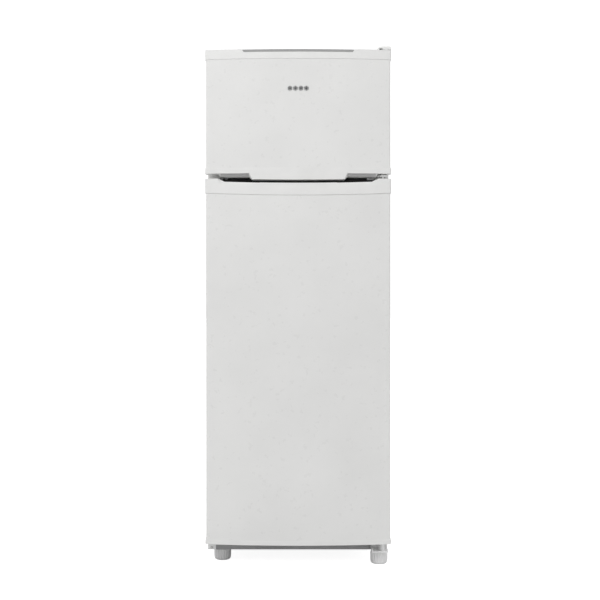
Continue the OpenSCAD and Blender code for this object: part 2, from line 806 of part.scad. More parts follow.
module roller_brackets() {
    color("gray") both_sides() translate([roller_x, roller_y, 0]) {
        for (s = [-1, 1]) slab([s * 14 - 1.5, -16, roller_r - 10], [s * 14 + 1.5, 16, cab_low - 4]);
        slab([-15.5, -16, cab_low - 6], [15.5, 16, cab_low - 2]);
        translate([-17, 0, roller_r]) rotate([0, 90, 0]) cylinder(r = axle_r, h = 34);
    }
}

// ---------- inside the cabinet ----------

freezer_shelf_z = freezer_floor + 152;

// A wire shelf: two side rods on the ledges, three rods across them, and thin wires on top.
module freezer_shelf() {
    half = cav_half - 5;
    y0 = shelf_front - 20;
    y1 = cav_back - 30;
    z = freezer_shelf_z;
    z_cross = z + 4.52;
    color("white") {
        for (x = [-half, half]) bar([x, y0 - 6, z], [x, y1 + 6, z], 2.5);
        for (y = [y0, (y0 + y1) / 2, y1]) bar([-half - 2, y, z_cross], [half + 2, y, z_cross], 2);
        for (i = [1:18]) {
            x = -half + i * 2 * half / 19;
            bar([x, y0 - 4, z_cross + 3.32], [x, y1 + 4, z_cross + 3.32], 1.3, $fn = 24);
        }
    }
}

// Two ice trays side by side, each with two rows of seven cells.
module ice_trays() {
    z0 = freezer_shelf_z + 9.4;
    color("lightblue") for (x = [-160, -40]) difference() {
        slab([x, -40, z0], [x + 105, 220, z0 + 34]);
        for (i = [0:1], j = [0:6])
            translate([x + 5 + i * 49, -35 + j * 36.2, z0 + 3]) cube([46, 33, 32]);
    }
}

// Ledges that carry the adjustable shelves, from the top down.
function shelf_ledge(i) = ledge_count - 2 - i * floor(ledge_count / shelf_count);

module glass_sheet(z) {
    slab([-cav_half + 1.5, shelf_front + 8, z], [cav_half - 1.5, shelf_back - 4, z + glass_t]);
}

// The glass shelves, and the glass cover over the deep drawer.
module shelf_glass() {
    color([0.75, 0.88, 0.86, 0.4]) {
        for (i = [0:shelf_count - 1]) glass_sheet(ledge_z(shelf_ledge(i)));
        glass_sheet(crisper_top + ledge_h);
    }
}

// Front and rear edge mouldings, each with a slot that takes the glass.
module glass_trim(z) {
    half = cav_half - 1.5;
    along_x(-half, half) polygon([
        [shelf_front, z - 3], [shelf_front + 12, z - 3], [shelf_front + 12, z], [shelf_front + 8, z],
        [shelf_front + 8, z + glass_t], [shelf_front + 12, z + glass_t], [shelf_front + 12, z + glass_t + 2],
        [shelf_front + 3, z + glass_t + 2], [shelf_front, z + glass_t - 1]
    ]);
    along_x(-half, half) polygon([
        [shelf_back, z], [shelf_back, z + glass_t + 10], [shelf_back - 3, z + glass_t + 10],
        [shelf_back - 3, z + glass_t + 2], [shelf_back - 8, z + glass_t + 2], [shelf_back - 8, z + glass_t],
        [shelf_back - 4, z + glass_t], [shelf_back - 4, z]
    ]);
}

module shelf_trims() {
    color("whitesmoke") {
        for (z = concat([for (i = [0:shelf_count - 1]) ledge_z(shelf_ledge(i))], [crisper_top + ledge_h]))
            difference() {
                glass_trim(z);
                both_sides()
                    slab([cav_half - ledge_w - 0.5, shelf_front + 7.9, 0], [cav_half, shelf_back + 1, z]);
            }
    }
}

// A deep drawer with a sloped back, clear of the step over the compressor.
module crisper_drawer() {
    half = cav_half - 14;
    y0 = shelf_front + 12;
    y1 = step_y - 8;
    z0 = fridge_floor + 1;
    z1 = crisper_top - 4;
    w = 2.5;
    color([0.85, 0.92, 0.95, 0.5]) {
        difference() {
            along_x(-half, half) polygon([[y0 + 10, z0], [y1 - 14, z0], [y1, z1], [y0, z1]]);
            along_x(-half + w, half - w)
                polygon([[y0 + 10 + w, z0 + w], [y1 - 14 - w, z0 + w], [y1 - w, z1 + 1], [y0 + w, z1 + 1]]);
        }
        along_x(-half + 60, half - 60) polygon([
            [y0 + 1, z1], [y0 - 10, z1], [y0 - 12, z1 - 14],
            [y0 - 9, z1 - 14], [y0 - 7.5, z1 - 3], [y0 + 2, z1 - 3]
        ]);
    }
}

chill_low = fridge_roof - 138;
chill_rim = chill_low + 84;

// A shallow drawer that hangs by its side flanges on two runners of the liner.
module chiller_drawer() {
    half = cav_half - 12;
    y0 = shelf_front + 10;
    y1 = cav_back - 60;
    z1 = chill_rim;
    w = 2.5;
    color([0.85, 0.92, 0.95, 0.5]) {
        difference() {
            along_x(-half, half) polygon([[y0 + 6, chill_low], [y1 - 6, chill_low], [y1, z1], [y0, z1]]);
            along_x(-half + w, half - w) polygon([
                [y0 + 6 + w, chill_low + w], [y1 - 6 - w, chill_low + w], [y1 - w, z1 + 1], [y0 + w, z1 + 1]
            ]);
        }
        both_sides() slab([half - 1, y0, z1 - 3], [cav_half - 3, y1, z1]);
        along_x(-half + 70, half - 70) polygon([
            [y0 + 1, z1], [y0 - 8, z1], [y0 - 10, z1 - 12],
            [y0 - 7, z1 - 12], [y0 - 5.5, z1 - 3], [y0 + 2, z1 - 3]
        ]);
    }
}

ctrl_x = 92;
ctrl_y0 = shelf_front - 6;
ctrl_y1 = shelf_front + 150;
ctrl_low = fridge_roof - 40;
knob_at = [-52, ctrl_y0, fridge_roof - 20];
knob_r = 15;

module control_housing() {
    w = 2.5;
    color("white") difference() {
        along_x(-ctrl_x, ctrl_x) polygon([
            [ctrl_y0, ctrl_low], [ctrl_y1 - 20, ctrl_low], [ctrl_y1, ctrl_low + 14],
            [ctrl_y1, fridge_roof], [ctrl_y0, fridge_roof]
        ]);
        slab([-ctrl_x + w, ctrl_y0 + w, ctrl_low + w], [ctrl_x - w, ctrl_y1 - w - 6, fridge_roof + 1]);
        slab([0, ctrl_y0 + 20, ctrl_low - 1], [80, ctrl_y1 - 40, ctrl_low + w + 1]);
        translate(knob_at - [0, 1, 0]) rotate([-90, 0, 0]) cylinder(r = 3.05, h = 6);
    }
}

module lamp_lens() {
    color([1, 1, 0.95, 0.5]) difference() {
        slab([0.2, ctrl_y0 + 20.2, ctrl_low - 6], [79.8, ctrl_y1 - 40.2, ctrl_low + 2.5]);
        slab([2, ctrl_y0 + 22, ctrl_low - 4.2], [78, ctrl_y1 - 42, ctrl_low + 3]);
    }
}

module lamp() {
    color([1, 0.97, 0.85]) translate([58, ctrl_y0 + 60, fridge_roof - 18]) rotate([0, -90, 0]) {
        cylinder(r = 7, h = 14);
        translate([0, 0, 14]) cylinder(r1 = 7, r2 = 11, h = 8);
        translate([0, 0, 22]) cylinder(r = 11, h = 14);
        translate([0, 0, 36]) sphere(r = 11);
    }
}

// Round knob on the front of the control housing, with a grip bar and a spindle.
module thermostat_knob() {
    color("whitesmoke") translate(knob_at) rotate([90, 0, 0]) {
        translate([0, 0, 0.5]) cylinder(r = knob_r, h = 7);
        translate([0, 0, 7.4]) cylinder(r1 = knob_r - 2, r2 = knob_r - 4, h = 3);
        translate([-2.5, -knob_r + 3, 8]) cube([5, 2 * knob_r - 6, 8]);
        translate([0, 0, -14]) cylinder(r = 3, h = 15);
    }
}

switch_at = [cav_half - 9, front_y + 62, fridge_roof - 40];

// Button of the light switch on the right wall: it stands out when it is released.
module light_switch_button() {
    color("white") translate(switch_at) rotate([90, 0, 0]) {
        cylinder(r = 3.5, h = 11);
        translate([0, 0, -12]) cylinder(r = 2.2, h = 12.5);
    }
}

// ---------- doors: parts that both share ----------

// Steel skin: bowed front, folded sides, and narrow flanges round the back.
module door_skin(z0, z1) {
    difference() {
        door_block(skin_half, 0, door_back, z0, z1);
        door_block(skin_half - sheet, sheet, door_back - sheet, z0 - 1, z1 + 1, 5, 4);
        slab([-skin_half + 14, door_back - 10, z0 - 1], [skin_half - 14, door_back + 1, z1 + 1]);
    }
}

// Socket for a hinge bushing: the boss stands inside an end cap.
module bush_boss(z0, z1) {
    translate([hinge_x, hinge_y, z0]) cylinder(r = 12, h = z1 - z0);
}

module bush_bore(z0, z1) {
    translate([hinge_x, hinge_y, z0]) cylinder(r = pin_r + 0.06, h = z1 - z0);
}

// The raised ring round a shallow pan on the inside of a door, from y0 up to ring_y, all set in by t.
module door_inner(z0, z1, ring_y, t, y0 = door_back) {
    difference() {
        slab([-dyke_half + t, y0, z0 + t], [dyke_half - t, ring_y - t, z1 - t]);
        slab(
            [-dyke_half + dyke_t - t, pan_y - t, z0 + dyke_t - t],
            [dyke_half - dyke_t + t, ring_y + 1, z1 - dyke_t + t]
        );
    }
}

// Inner moulding of a door: a flat border with the raised ring on it.
module door_inner_shell(z0, z1, ring_y, edge0, edge1) {
    difference() {
        union() {
            along_y(door_back, door_back + liner_t)
                polygon(round_rect([-skin_half + 8, edge0], [skin_half - 8, edge1], 8));
            door_inner(z0, z1, ring_y, 0);
        }
        door_inner(z0, z1, ring_y, liner_t, door_back - 1);
    }
}

// A gasket frame: a flat fixing strip and the soft magnetic bulb on it.
module gasket(z0, z1) {
    half = skin_half - 27;
    y0 = door_back + liner_t;
    color("gainsboro") {
        along_y(y0, y0 + 4) difference() {
            polygon(round_rect([-half, z0], [half, z1], 6));
            polygon(round_rect([-half + 18, z0 + 18], [half - 18, z1 - 18], 3));
        }
        along_y(y0 + 4, front_y - 0.3) difference() {
            polygon(round_rect([-half + 2, z0 + 2], [half - 2, z1 - 2], 5));
            polygon(round_rect([-half + 15, z0 + 15], [half - 15, z1 - 15], 3));
        }
    }
}

// An open door bin that slopes in towards its foot.
module door_bin(z0, h, depth) {
    y0 = bin_back;
    y1 = bin_back + depth;
    w = bin_wall;
    difference() {
        along_x(-bin_half, bin_half) polygon([[y0, z0], [y1 - 8, z0], [y1, z0 + h], [y0, z0 + h]]);
        along_x(-bin_half + w, bin_half - w)
            polygon([[y0 + w, z0 + w], [y1 - 8 - w, z0 + w], [y1 - w, z0 + h + 1], [y0 + w, z0 + h + 1]]);
    }
}

// ---------- freezer door ----------

freezer_ring = front_y + 22;
freezer_in0 = freezer_floor + 6;
freezer_in1 = freezer_roof - 6;
notch_x = 187;
notch_h = 10;

module freezer_door_skin() {
    color("white") door_skin(freezer_seam, top_seam);
}

module top_notch() {
    along_y(crown_y - 2, crown_y + 62) polygon([
        [-notch_x, door_top + 1], [-notch_x + 7, door_top - notch_h],
        [notch_x - 7, door_top - notch_h], [notch_x, door_top + 1]
    ]);
}

// Outline of the freezer's lower cap, seen from the front.
// It is level over the grips, and has a deeper lip between them.
function grip_outline(z_grip) = concat(
    [[-overall_w / 2 - 1, freezer_low], [-grip_x1, freezer_low]],
    [[-grip_x1 + 6, z_grip], [-grip_x0 - 5, z_grip]],
    sag_line(freezer_low - lip_drop, -grip_x0 + 4, grip_x0 - 4, 12),
    [[grip_x0 + 5, z_grip], [grip_x1 - 6, z_grip]],
    [[grip_x1, freezer_low], [overall_w / 2 + 1, freezer_low]],
    [[overall_w / 2 + 1, freezer_seam], [-overall_w / 2 - 1, freezer_seam]]
);

grip_set = 14;
grip_h = 10;

// Hairline slits that part the lip and the two grip walls from the cap above them.
module lip_slits() {
    x0 = grip_x0 + 5;
    y0 = crown_y - 5;
    y1 = door_back + 5;
    slab([-overall_w, y0, freezer_low - slit], [overall_w, y1, freezer_low]);
    both_sides() slab([x0, y0, freezer_low - 40], [x0 + slit, y1, freezer_low]);
}

module freezer_door_caps() {
    wide = overall_w / 2;
    z_low = freezer_low - 40;
    color("white") {
        difference() {
            union() {
                difference() {
                    door_block(wide, -1, door_back, top_seam, door_top, 8, 8);
                    door_block(wide - 3, 2, door_back - 3, top_seam - 1, door_top - 11, 6, 5);
                }
                bush_boss(door_top - 28, door_top - 1);
            }
            top_notch();
            bush_bore(door_top - 24, door_top + 1);
        }
        difference() {
            union() {
                difference() {
                    union() {
                        intersection() {
                            door_block(wide, -1, door_back, z_low, freezer_seam, 8, 8);
                            along_y(crown_y - 5, door_back + 5) polygon(grip_outline(freezer_low));
                        }
                        intersection() {
                            door_block(wide - grip_set, grip_set, door_back, z_low, freezer_seam, 4, 8);
                            along_y(crown_y - 5, door_back + 5) polygon(grip_outline(freezer_low - grip_h));
                        }
                    }
                    door_block(wide - 3, 2, door_back - 3, freezer_low + 3, freezer_seam + 1, 6, 5);
                }
                bush_boss(freezer_low + 1, freezer_low + 27);
            }
            bush_bore(freezer_low - 1, freezer_low + 24);
            lip_slits();
        }
    }
}

// Grey grip inserts: a strip in the notch on top, and one in each grip under the door.
module freezer_door_trims() {
    color("darkgray") {
        intersection() {
            difference() {
                door_block(skin_half, 4, crown_y + 58, door_top - notch_h, door_top - 0.3);
                door_block(skin_half, 7, crown_y + 59, door_top - notch_h - 1, door_top - 2.3);
            }
            top_notch();
        }
        both_sides() intersection() {
            difference() {
                door_block(skin_half, grip_set - 3, door_back, freezer_low - 30, freezer_low - 0.1);
                door_block(skin_half, grip_set - 0.1, door_back + 1, freezer_low - 31, freezer_low);
            }
            slab([grip_x0 + 7, crown_y, freezer_low - grip_h], [grip_x1 - 8, crown_y + 50, freezer_low - 0.1]);
        }
    }
}

module freezer_door_foam() {
    color("khaki") {
        difference() {
            union() {
                door_block(skin_half - sheet, sheet, door_back - sheet, freezer_seam, top_seam, 5, 4);
                door_block(overall_w / 2 - 3, 2, door_back - 3, freezer_low + 3, freezer_seam, 6, 5);
                door_block(overall_w / 2 - 3, 2, door_back - 3, top_seam, door_top - 11, 6, 5);
                slab([-skin_half + 14, door_back - 4, freezer_seam], [skin_half - 14, door_back, top_seam]);
                door_inner(freezer_in0, freezer_in1, freezer_ring, liner_t);
            }
            translate([hinge_x, hinge_y, door_top - 28]) cylinder(r = 12, h = 30);
            translate([hinge_x, hinge_y, freezer_low - 1]) cylinder(r = 12, h = 28);
        }
    }
}

module freezer_door_liner() {
    color("whitesmoke")
        door_inner_shell(freezer_in0, freezer_in1, freezer_ring, freezer_low + 3, door_top - 6);
}

module freezer_door_gasket() {
    gasket(freezer_low + 4, top_seam + 14);
}

// A plain mark: a row of four six-armed snow stars that stand on the bowed skin.
module door_badge() {
    z = door_top - 130;
    arm = 7.6;
    color([0.2, 0.22, 0.25]) for (x = [-27, -9, 9, 27]) {
        front = crown_y + x * x / (2 * bow_r) - 0.02;
        translate([x, front, z]) rotate([90, 0, atan(x / bow_r)]) linear_extrude(1) union() {
            for (a = [30, 90, 150]) rotate(a) square([2 * arm, 1.7], center = true);
            for (a = [30:60:330]) rotate(a) translate([arm * 0.62, 0]) {
                rotate(45) translate([0, -0.6]) square([3.4, 1.2]);
                rotate(-45) translate([0, -0.6]) square([3.4, 1.2]);
            }
        }
    }
}

freezer_bin_z = [freezer_in0 + dyke_t + 4, freezer_in0 + 165];

module freezer_door_bins() {
    color("white") for (z = freezer_bin_z) door_bin(z, 62, freezer_bin_depth);
}

// ---------- refrigerator door ----------

fridge_ring = front_y + 38;
fridge_in0 = fridge_floor + 6;
fridge_in1 = fridge_roof - 10;

module fridge_door_skin() {
    color("white") intersection() {
        door_skin(low_seam, fridge_top);
        along_y(crown_y - 5, door_back + 5) polygon(concat(
            [[skin_half + 1, low_seam], [skin_half + 1, fridge_seam]],
            sag_line(fridge_seam, skin_half, -skin_half, 24),
            [[-skin_half - 1, fridge_seam], [-skin_half - 1, low_seam]]
        ));
    }
}

// Outline of the upper cap: a sagging seam below, raised ends and a lower middle above.
function top_cap_outline() = concat(
    [[-overall_w / 2 - 1, fridge_seam + 0.4], [-skin_half, fridge_seam + 0.4]],
    sag_line(fridge_seam + 0.4, -skin_half + 1, skin_half - 1, 24),
    [[skin_half, fridge_seam + 0.4], [overall_w / 2 + 1, fridge_seam + 0.4]],
    [[overall_w / 2 + 1, fridge_top], [grip_x1, fridge_top]],
    sag_line(fridge_top - 7.2, grip_x1 - slope_w, -grip_x1 + slope_w, 16),
    [[-grip_x1, fridge_top], [-overall_w / 2 - 1, fridge_top]]
);

module scoops() {
    both_sides() intersection() {
        difference() {
            door_block(overall_w / 2 + 2, -3, door_back, fridge_top - 30, fridge_top + 2);
            door_block(overall_w / 2, 5, door_back + 1, fridge_top - 31, fridge_top + 3);
        }
        along_y(crown_y - 5, crown_y + 60) polygon([
            [120, fridge_top + 1], [130, fridge_top - 20.5], [258, fridge_top - 18],
            [grip_x1 - 1, fridge_top - 6], [grip_x1 - 1, fridge_top + 1]
        ]);
    }
}

module fridge_door_caps() {
    wide = overall_w / 2;
    pocket_top = fridge_top - 26;
    color("white") {
        difference() {
            union() {
                difference() {
                    intersection() {
                        door_block(wide, -1, door_back, fridge_seam - 20, fridge_top, 8, 8);
                        along_y(crown_y - 5, door_back + 5) polygon(top_cap_outline());
                    }
                    door_block(wide - 3, 2, door_back - 3, fridge_seam - 21, pocket_top, 6, 5);
                }
                bush_boss(fridge_top - 28, fridge_top - 1);
            }
            scoops();
            bush_bore(fridge_top - 24, fridge_top + 1);
        }
        difference() {
            union() {
                difference() {
                    door_block(wide, -1, door_back, fridge_low, low_seam, 8, 8);
                    door_block(wide - 3, 2, door_back - 3, fridge_low + 3, low_seam + 1, 6, 5);
                }
                bush_boss(fridge_low + 1, fridge_low + 27);
            }
            bush_bore(fridge_low - 1, fridge_low + 24);
        }
    }
}

module fridge_door_foam() {
    seam = fridge_seam - trim_sag;
    color("khaki") difference() {
        union() {
            door_block(skin_half - sheet, sheet, door_back - sheet, low_seam, seam, 5, 4);
            door_block(overall_w / 2 - 9, 8, door_back - 3, seam, fridge_top - 26, 6, 5);
            door_block(overall_w / 2 - 3, 2, door_back - 3, fridge_low + 3, low_seam, 6, 5);
            slab([-skin_half + 14, door_back - 4, low_seam], [skin_half - 14, door_back, seam]);
            door_inner(fridge_in0, fridge_in1, fridge_ring, liner_t);
        }
        translate([hinge_x, hinge_y, fridge_top - 28]) cylinder(r = 12, h = 30);
        translate([hinge_x, hinge_y, fridge_low - 1]) cylinder(r = 12, h = 28);
    }
}

module fridge_door_liner() {
    color("whitesmoke")
        door_inner_shell(fridge_in0, fridge_in1, fridge_ring, fridge_low + 4, fridge_top - 15);
}

module fridge_door_gasket() {
    gasket(low_seam + 6, fridge_roof + rim + 1);
}

// Floors of the bottle bin at the foot, the two bins over it, and the one under the lid.
fridge_bin_z = [fridge_in0 + dyke_t + 4, fridge_floor + 340, fridge_floor + 590, fridge_floor + 840];

lid_z = fridge_bin_z[3] + 138;
lid_y = bin_back + 12;
lid_half = bin_half - 9;

// The bins, and the two lugs that the lid over the top bin turns in.
module fridge_door_bins() {
    color("white") {
        for (i = [0:3]) door_bin(fridge_bin_z[i], i == 0 ? 96 : 66, fridge_bin_depth);
        both_sides() difference() {
            slab([bin_half - 7, bin_back, fridge_bin_z[3] + 1], [bin_half, bin_back + 24, lid_z + 10]);
            translate([bin_half - 10, lid_y, lid_z]) rotate([0, 90, 0]) cylinder(r = 3.06, h = 20);
        }
    }
}

// A clear lid that lifts to reach the top bin.
module dairy_cover() {
    r = 96;
    y = bin_back + 98 - r;
    low = fridge_bin_z[3] + 70;
    color([0.85, 0.92, 0.95, 0.5]) {
        along_x(-lid_half, lid_half) polygon(concat(
            [[lid_y - 4, lid_z + 4]],
            arc([y, low + 4], r, 64, 0, 10),
            [[y + r, low], [y + r - 2.2, low]],
            arc([y, low + 4], r - 2.2, 0, 64, 10),
            [[lid_y - 4, lid_z - 1]]
        ));
        both_sides() translate([lid_half - 2, lid_y, lid_z])
            rotate([0, 90, 0]) cylinder(r = 3, h = bin_half - lid_half + 1);
    }
}

// ---------- all nodes ----------

cabinet_shell();
back_panel();
bottom_panel();
cabinet_insulation();
freezer_liner();
fridge_liner();
mullion_rail();
front_base_rail();
base_corner_plate();
base_frame();
compressor();
compressor_grommets();
relay_cover();
refrigerant_tubes();
condenser_coil();
condenser_wires();
condenser_brackets();
drip_pan();
drain_hose();
freezer_evaporator();
fridge_evaporator();
cord_gland();
wall_spacers();
top_hinge();
top_hinge_cover();
middle_hinge();
bottom_hinge();
hinge_screws();
hinge_hole_plugs();
front_left_foot();
front_right_foot();
rear_roller_left();
rear_roller_right();
roller_brackets();
freezer_shelf();
ice_trays();
shelf_glass();
shelf_trims();
crisper_drawer();
chiller_drawer();
control_housing();
lamp();
lamp_lens();
thermostat_knob();
light_switch_button();
freezer_door_skin();
freezer_door_caps();
freezer_door_foam();
freezer_door_liner();
freezer_door_gasket();
freezer_door_trims();
freezer_door_bins();
door_badge();
fridge_door_skin();
fridge_door_caps();
fridge_door_foam();
fridge_door_liner();
fridge_door_gasket();
fridge_door_bins();
dairy_cover();
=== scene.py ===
import json
import math

import bmesh
import bpy
from mathutils import Matrix, Vector


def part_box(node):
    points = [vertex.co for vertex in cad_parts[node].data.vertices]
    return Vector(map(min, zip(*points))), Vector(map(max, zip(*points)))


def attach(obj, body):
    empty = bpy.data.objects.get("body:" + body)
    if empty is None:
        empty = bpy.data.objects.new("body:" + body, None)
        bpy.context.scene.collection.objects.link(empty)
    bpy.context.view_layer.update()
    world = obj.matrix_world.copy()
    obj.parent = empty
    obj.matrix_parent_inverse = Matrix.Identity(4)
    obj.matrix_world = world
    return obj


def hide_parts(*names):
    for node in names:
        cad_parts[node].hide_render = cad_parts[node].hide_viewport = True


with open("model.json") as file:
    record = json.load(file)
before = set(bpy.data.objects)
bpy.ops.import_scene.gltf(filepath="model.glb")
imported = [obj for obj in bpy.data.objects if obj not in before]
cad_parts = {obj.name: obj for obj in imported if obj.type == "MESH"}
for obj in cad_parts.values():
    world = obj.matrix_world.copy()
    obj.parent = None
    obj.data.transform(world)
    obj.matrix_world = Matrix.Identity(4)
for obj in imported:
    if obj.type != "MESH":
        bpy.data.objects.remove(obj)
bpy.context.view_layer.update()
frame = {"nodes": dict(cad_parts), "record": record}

NODES = frame["nodes"]
scene = bpy.context.scene
scene.view_settings.view_transform = "Standard"

CREASE = math.radians(38)
WELD = 0.00002


def link(o):
    scene.collection.objects.link(o)
    return o


# ---------- materials ----------

class Shader:
    """A node material: Principled, with noise for its colour, roughness and bump."""

    def __init__(self, name, **values):
        self.m = bpy.data.materials.new(name)
        self.m.use_nodes = True
        self.t = self.m.node_tree
        self.b = self.t.nodes["Principled BSDF"]
        self.coords = self.node("ShaderNodeTexCoord").outputs["Object"]
        for k, v in values.items():
            self.b.inputs[k.replace("_", " ")].default_value = v

    def node(self, kind, **props):
        n = self.t.nodes.new(kind)
        for k, v in props.items():
            setattr(n, k, v)
        return n

    def link(self, a, b):
        self.t.links.new(a, b)

    def scaled(self, x, y, z):
        n = self.node("ShaderNodeMapping")
        n.inputs["Scale"].default_value = (x, y, z)
        self.link(self.coords, n.inputs["Vector"])
        return n.outputs["Vector"]

    def noise(self, scale, detail=3, rough=0.55, stretch=(1, 1, 1)):
        n = self.node("ShaderNodeTexNoise")
        n.inputs["Scale"].default_value = scale
        n.inputs["Detail"].default_value = detail
        n.inputs["Roughness"].default_value = rough
        self.link(self.scaled(*stretch), n.inputs["Vector"])
        return n.outputs["Fac"]

    def cells(self, scale):
        """A random colour for each cell of a Voronoi pattern."""
        n = self.node("ShaderNodeTexVoronoi", feature="F1")
        n.inputs["Scale"].default_value = scale
        self.link(self.scaled(1, 1, 1), n.inputs["Vector"])
        return n.outputs["Color"]

    def ramp(self, value, a, b, low=0.3, high=0.7):
        n = self.node("ShaderNodeMapRange")
        for k, v in zip(("From Min", "From Max", "To Min", "To Max"), (low, high, a, b)):
            n.inputs[k].default_value = v
        self.link(value, n.inputs["Value"])
        return n.outputs["Result"]

    def mix(self, fac, a, b):
        n = self.node("ShaderNodeMix", data_type="RGBA")
        for k, v in ((6, a), (7, b)):
            if isinstance(v, tuple):
                n.inputs[k].default_value = (*v, 1)
            else:
                self.link(v, n.inputs[k])
        self.link(fac, n.inputs[0])
        return n.outputs[2]

    def color(self, value):
        self.link(value, self.b.inputs["Base Color"])

    def rough(self, value):
        self.link(value, self.b.inputs["Roughness"])

    def bump(self, layers):
        """layers: (height, strength, distance in metres), from the finest to the broadest."""
        last = None
        for height, strength, distance in layers:
            n = self.node("ShaderNodeBump")
            n.inputs["Strength"].default_value = strength
            n.inputs["Distance"].default_value = distance
            self.link(height, n.inputs["Height"])
            if last:
                self.link(last, n.inputs["Normal"])
            last = n.outputs["Normal"]
        self.link(last, self.b.inputs["Normal"])


def tone(c, k):
    return tuple(min(1, x * k) for x in c)


def enamel(name, c, rough=0.3, peel=0.25, coat=0.25):
    """Baked paint on sheet steel: faint orange peel, and a little unevenness in the sheet."""
    s = Shader(name, Coat_Weight=coat, Coat_Roughness=0.12)
    s.color(s.mix(s.ramp(s.noise(5, 4), 0, 1), tone(c, 0.975), tone(c, 1.02)))
    s.rough(s.ramp(s.noise(60, 4), rough - 0.04, rough + 0.05))
    s.bump([(s.noise(420, 2), peel, 0.00003), (s.noise(3, 1), 0.25, 0.0006)])
    return s.m


def plastic(name, c, rough=0.38, grain=0.25, scale=1400, spread=0.025, shade_band=None):
    """Moulded plastic: fine grain, slight flow marks, and small random differences in tone.
    shade_band is (low, high, k): the colour changes to k times itself between those two heights, a painted
    shade."""
    s = Shader(name)

    def flow(k):
        return s.mix(s.ramp(s.noise(14, 5), 0, 1), tone(c, k * (1 - spread)), tone(c, k * (1 + spread)))

    base = flow(1)
    # Painted shade: above z_high the colour is darkened to k times itself
    if shade_band:
        z_low, z_high, k = shade_band
        split = s.node("ShaderNodeSeparateXYZ")
        s.link(s.coords, split.inputs[0])
        base = s.mix(s.ramp(split.outputs["Z"], 0, 1, z_low, z_high), base, flow(k))
    s.color(base)
    s.rough(s.ramp(s.noise(90, 4), rough - 0.05, rough + 0.07))
    s.bump([(s.noise(scale, 2), grain, 0.00008), (s.noise(22, 2), 0.2, 0.0004)])
    return s.m


def clear(name, c, rough=0.06, ior=1.49, weight=0.9):
    """Clear glass or plastic, with slight waves."""
    s = Shader(name, Transmission_Weight=weight, IOR=ior)
    s.color(s.mix(s.ramp(s.noise(8, 3), 0, 1), tone(c, 0.97), c))
    s.rough(s.ramp(s.noise(40, 4), rough * 0.6, rough * 1.6))
    s.bump([(s.noise(30, 2), 0.12, 0.0005)])
    return s.m


def metal(name, c, rough=0.35, stretch=(1, 1, 1), streak=0.2, spangle=False):
    """Bare metal: streaked along one way, or with the crystal spangle of hot galvanising."""
    s = Shader(name, Metallic=1.0)
    if spangle:
        shade = s.cells(70)
        split = s.node("ShaderNodeSeparateColor")
        s.link(shade, split.inputs[0])
        s.color(s.mix(s.ramp(split.outputs[0], 0, 1, 0, 1), tone(c, 0.82), tone(c, 1.1)))
        s.rough(s.ramp(split.outputs[1], rough - 0.08, rough + 0.12, 0, 1))
        s.bump([(s.noise(700, 2), 0.15, 0.00005), (split.outputs[2], 0.06, 0.0002)])
    else:
        s.color(s.mix(s.ramp(s.noise(25, 5), 0, 1), tone(c, 0.85), tone(c, 1.08)))
        s.rough(s.ramp(s.noise(120, 4, stretch=stretch), rough - 0.08, rough + 0.12))
        s.bump([(s.noise(300, 3, stretch=stretch), streak, 0.00006)])
    return s.m


WHITE = (0.86, 0.86, 0.85)
M = {
    "white_steel": enamel("white_steel", WHITE),
    "white_plastic": plastic("white_plastic", tone(WHITE, 1.01), 0.42, 0.2),
    "liner_plastic": plastic("liner_plastic", (0.84, 0.85, 0.85), 0.3, 0.1, 300),
    "bin_plastic": plastic("bin_plastic", (0.82, 0.85, 0.86), 0.2, 0.05),
    "galvanised_steel": metal("galvanised_steel", (0.62, 0.63, 0.64), 0.38, spangle=True),
    "screw_steel": metal("screw_steel", (0.66, 0.66, 0.65), 0.3),
    "foam": plastic("foam", (0.80, 0.72, 0.48), 0.85, 0.8, 500, 0.08),
    "gasket_rubber": plastic("gasket_rubber", (0.60, 0.60, 0.59), 0.6, 0.3, 900),
    # Above 1.5 m the freezer door's top trim is painted 0.74 times darker, a painted shade of its recess;
    # the grips below keep the plain grey
    "grey_grip_plastic": plastic("grey_grip_plastic", (0.50, 0.50, 0.50), 0.45, 0.3, 1200,
                                 shade_band=(1.45, 1.55, 0.74)),
    "grey_knob_plastic": plastic("grey_knob_plastic", (0.62, 0.63, 0.64), 0.35),
    "foot_plastic": plastic("foot_plastic", (0.92, 0.92, 0.92), 0.45, 0.3, 900, 0.04),
    "dark_grey_plastic": plastic("dark_grey_plastic", (0.09, 0.09, 0.095), 0.5, 0.4, 1100, 0.1),
    "badge_plastic": plastic("badge_plastic", (0.045, 0.05, 0.055), 0.25, 0.1, 1400, 0.1),
    "black_enamel": enamel("black_enamel", (0.018, 0.018, 0.02), 0.35, 0.5, 0.3),
    "black_rubber": plastic("black_rubber", (0.02, 0.02, 0.02), 0.7, 0.5, 800, 0.15),
    "roller_plastic": plastic("roller_plastic", (0.06, 0.06, 0.065), 0.55, 0.5, 700, 0.1),
    "copper": metal("copper", (0.72, 0.36, 0.22), 0.32, (8, 8, 8), 0.3),
    "bare_aluminium": metal("bare_aluminium", (0.74, 0.75, 0.76), 0.36, (1, 30, 30), 0.2),
    "shelf_glass": clear("shelf_glass", (0.90, 0.97, 0.95), 0.02, 1.5, 1.0),
    "lamp_glass": plastic("lamp_glass", (0.86, 0.84, 0.76), 0.15, 0.02),
    "clear_plastic": clear("clear_plastic", (0.90, 0.95, 0.97), 0.08),
    "shelf_wire": enamel("shelf_wire", (0.78, 0.78, 0.78), 0.3, 0.4),
    "tray_plastic": plastic("tray_plastic", (0.38, 0.58, 0.76), 0.3, 0.1),
    "rail_plastic": plastic("rail_plastic", (0.36, 0.36, 0.365), 0.5, 0.4, 1100, 0.06),
    # Near black as painted shade: the mullion stands in for the deep shade in the gap between the doors
    "gap_shade_plastic": plastic("gap_shade_plastic", (0.022, 0.022, 0.023), 0.6, 0.4, 1100, 0.1),
    "zinc_plate": enamel("zinc_plate", (0.92, 0.92, 0.92), 0.35, 0.3, 0.1),
}
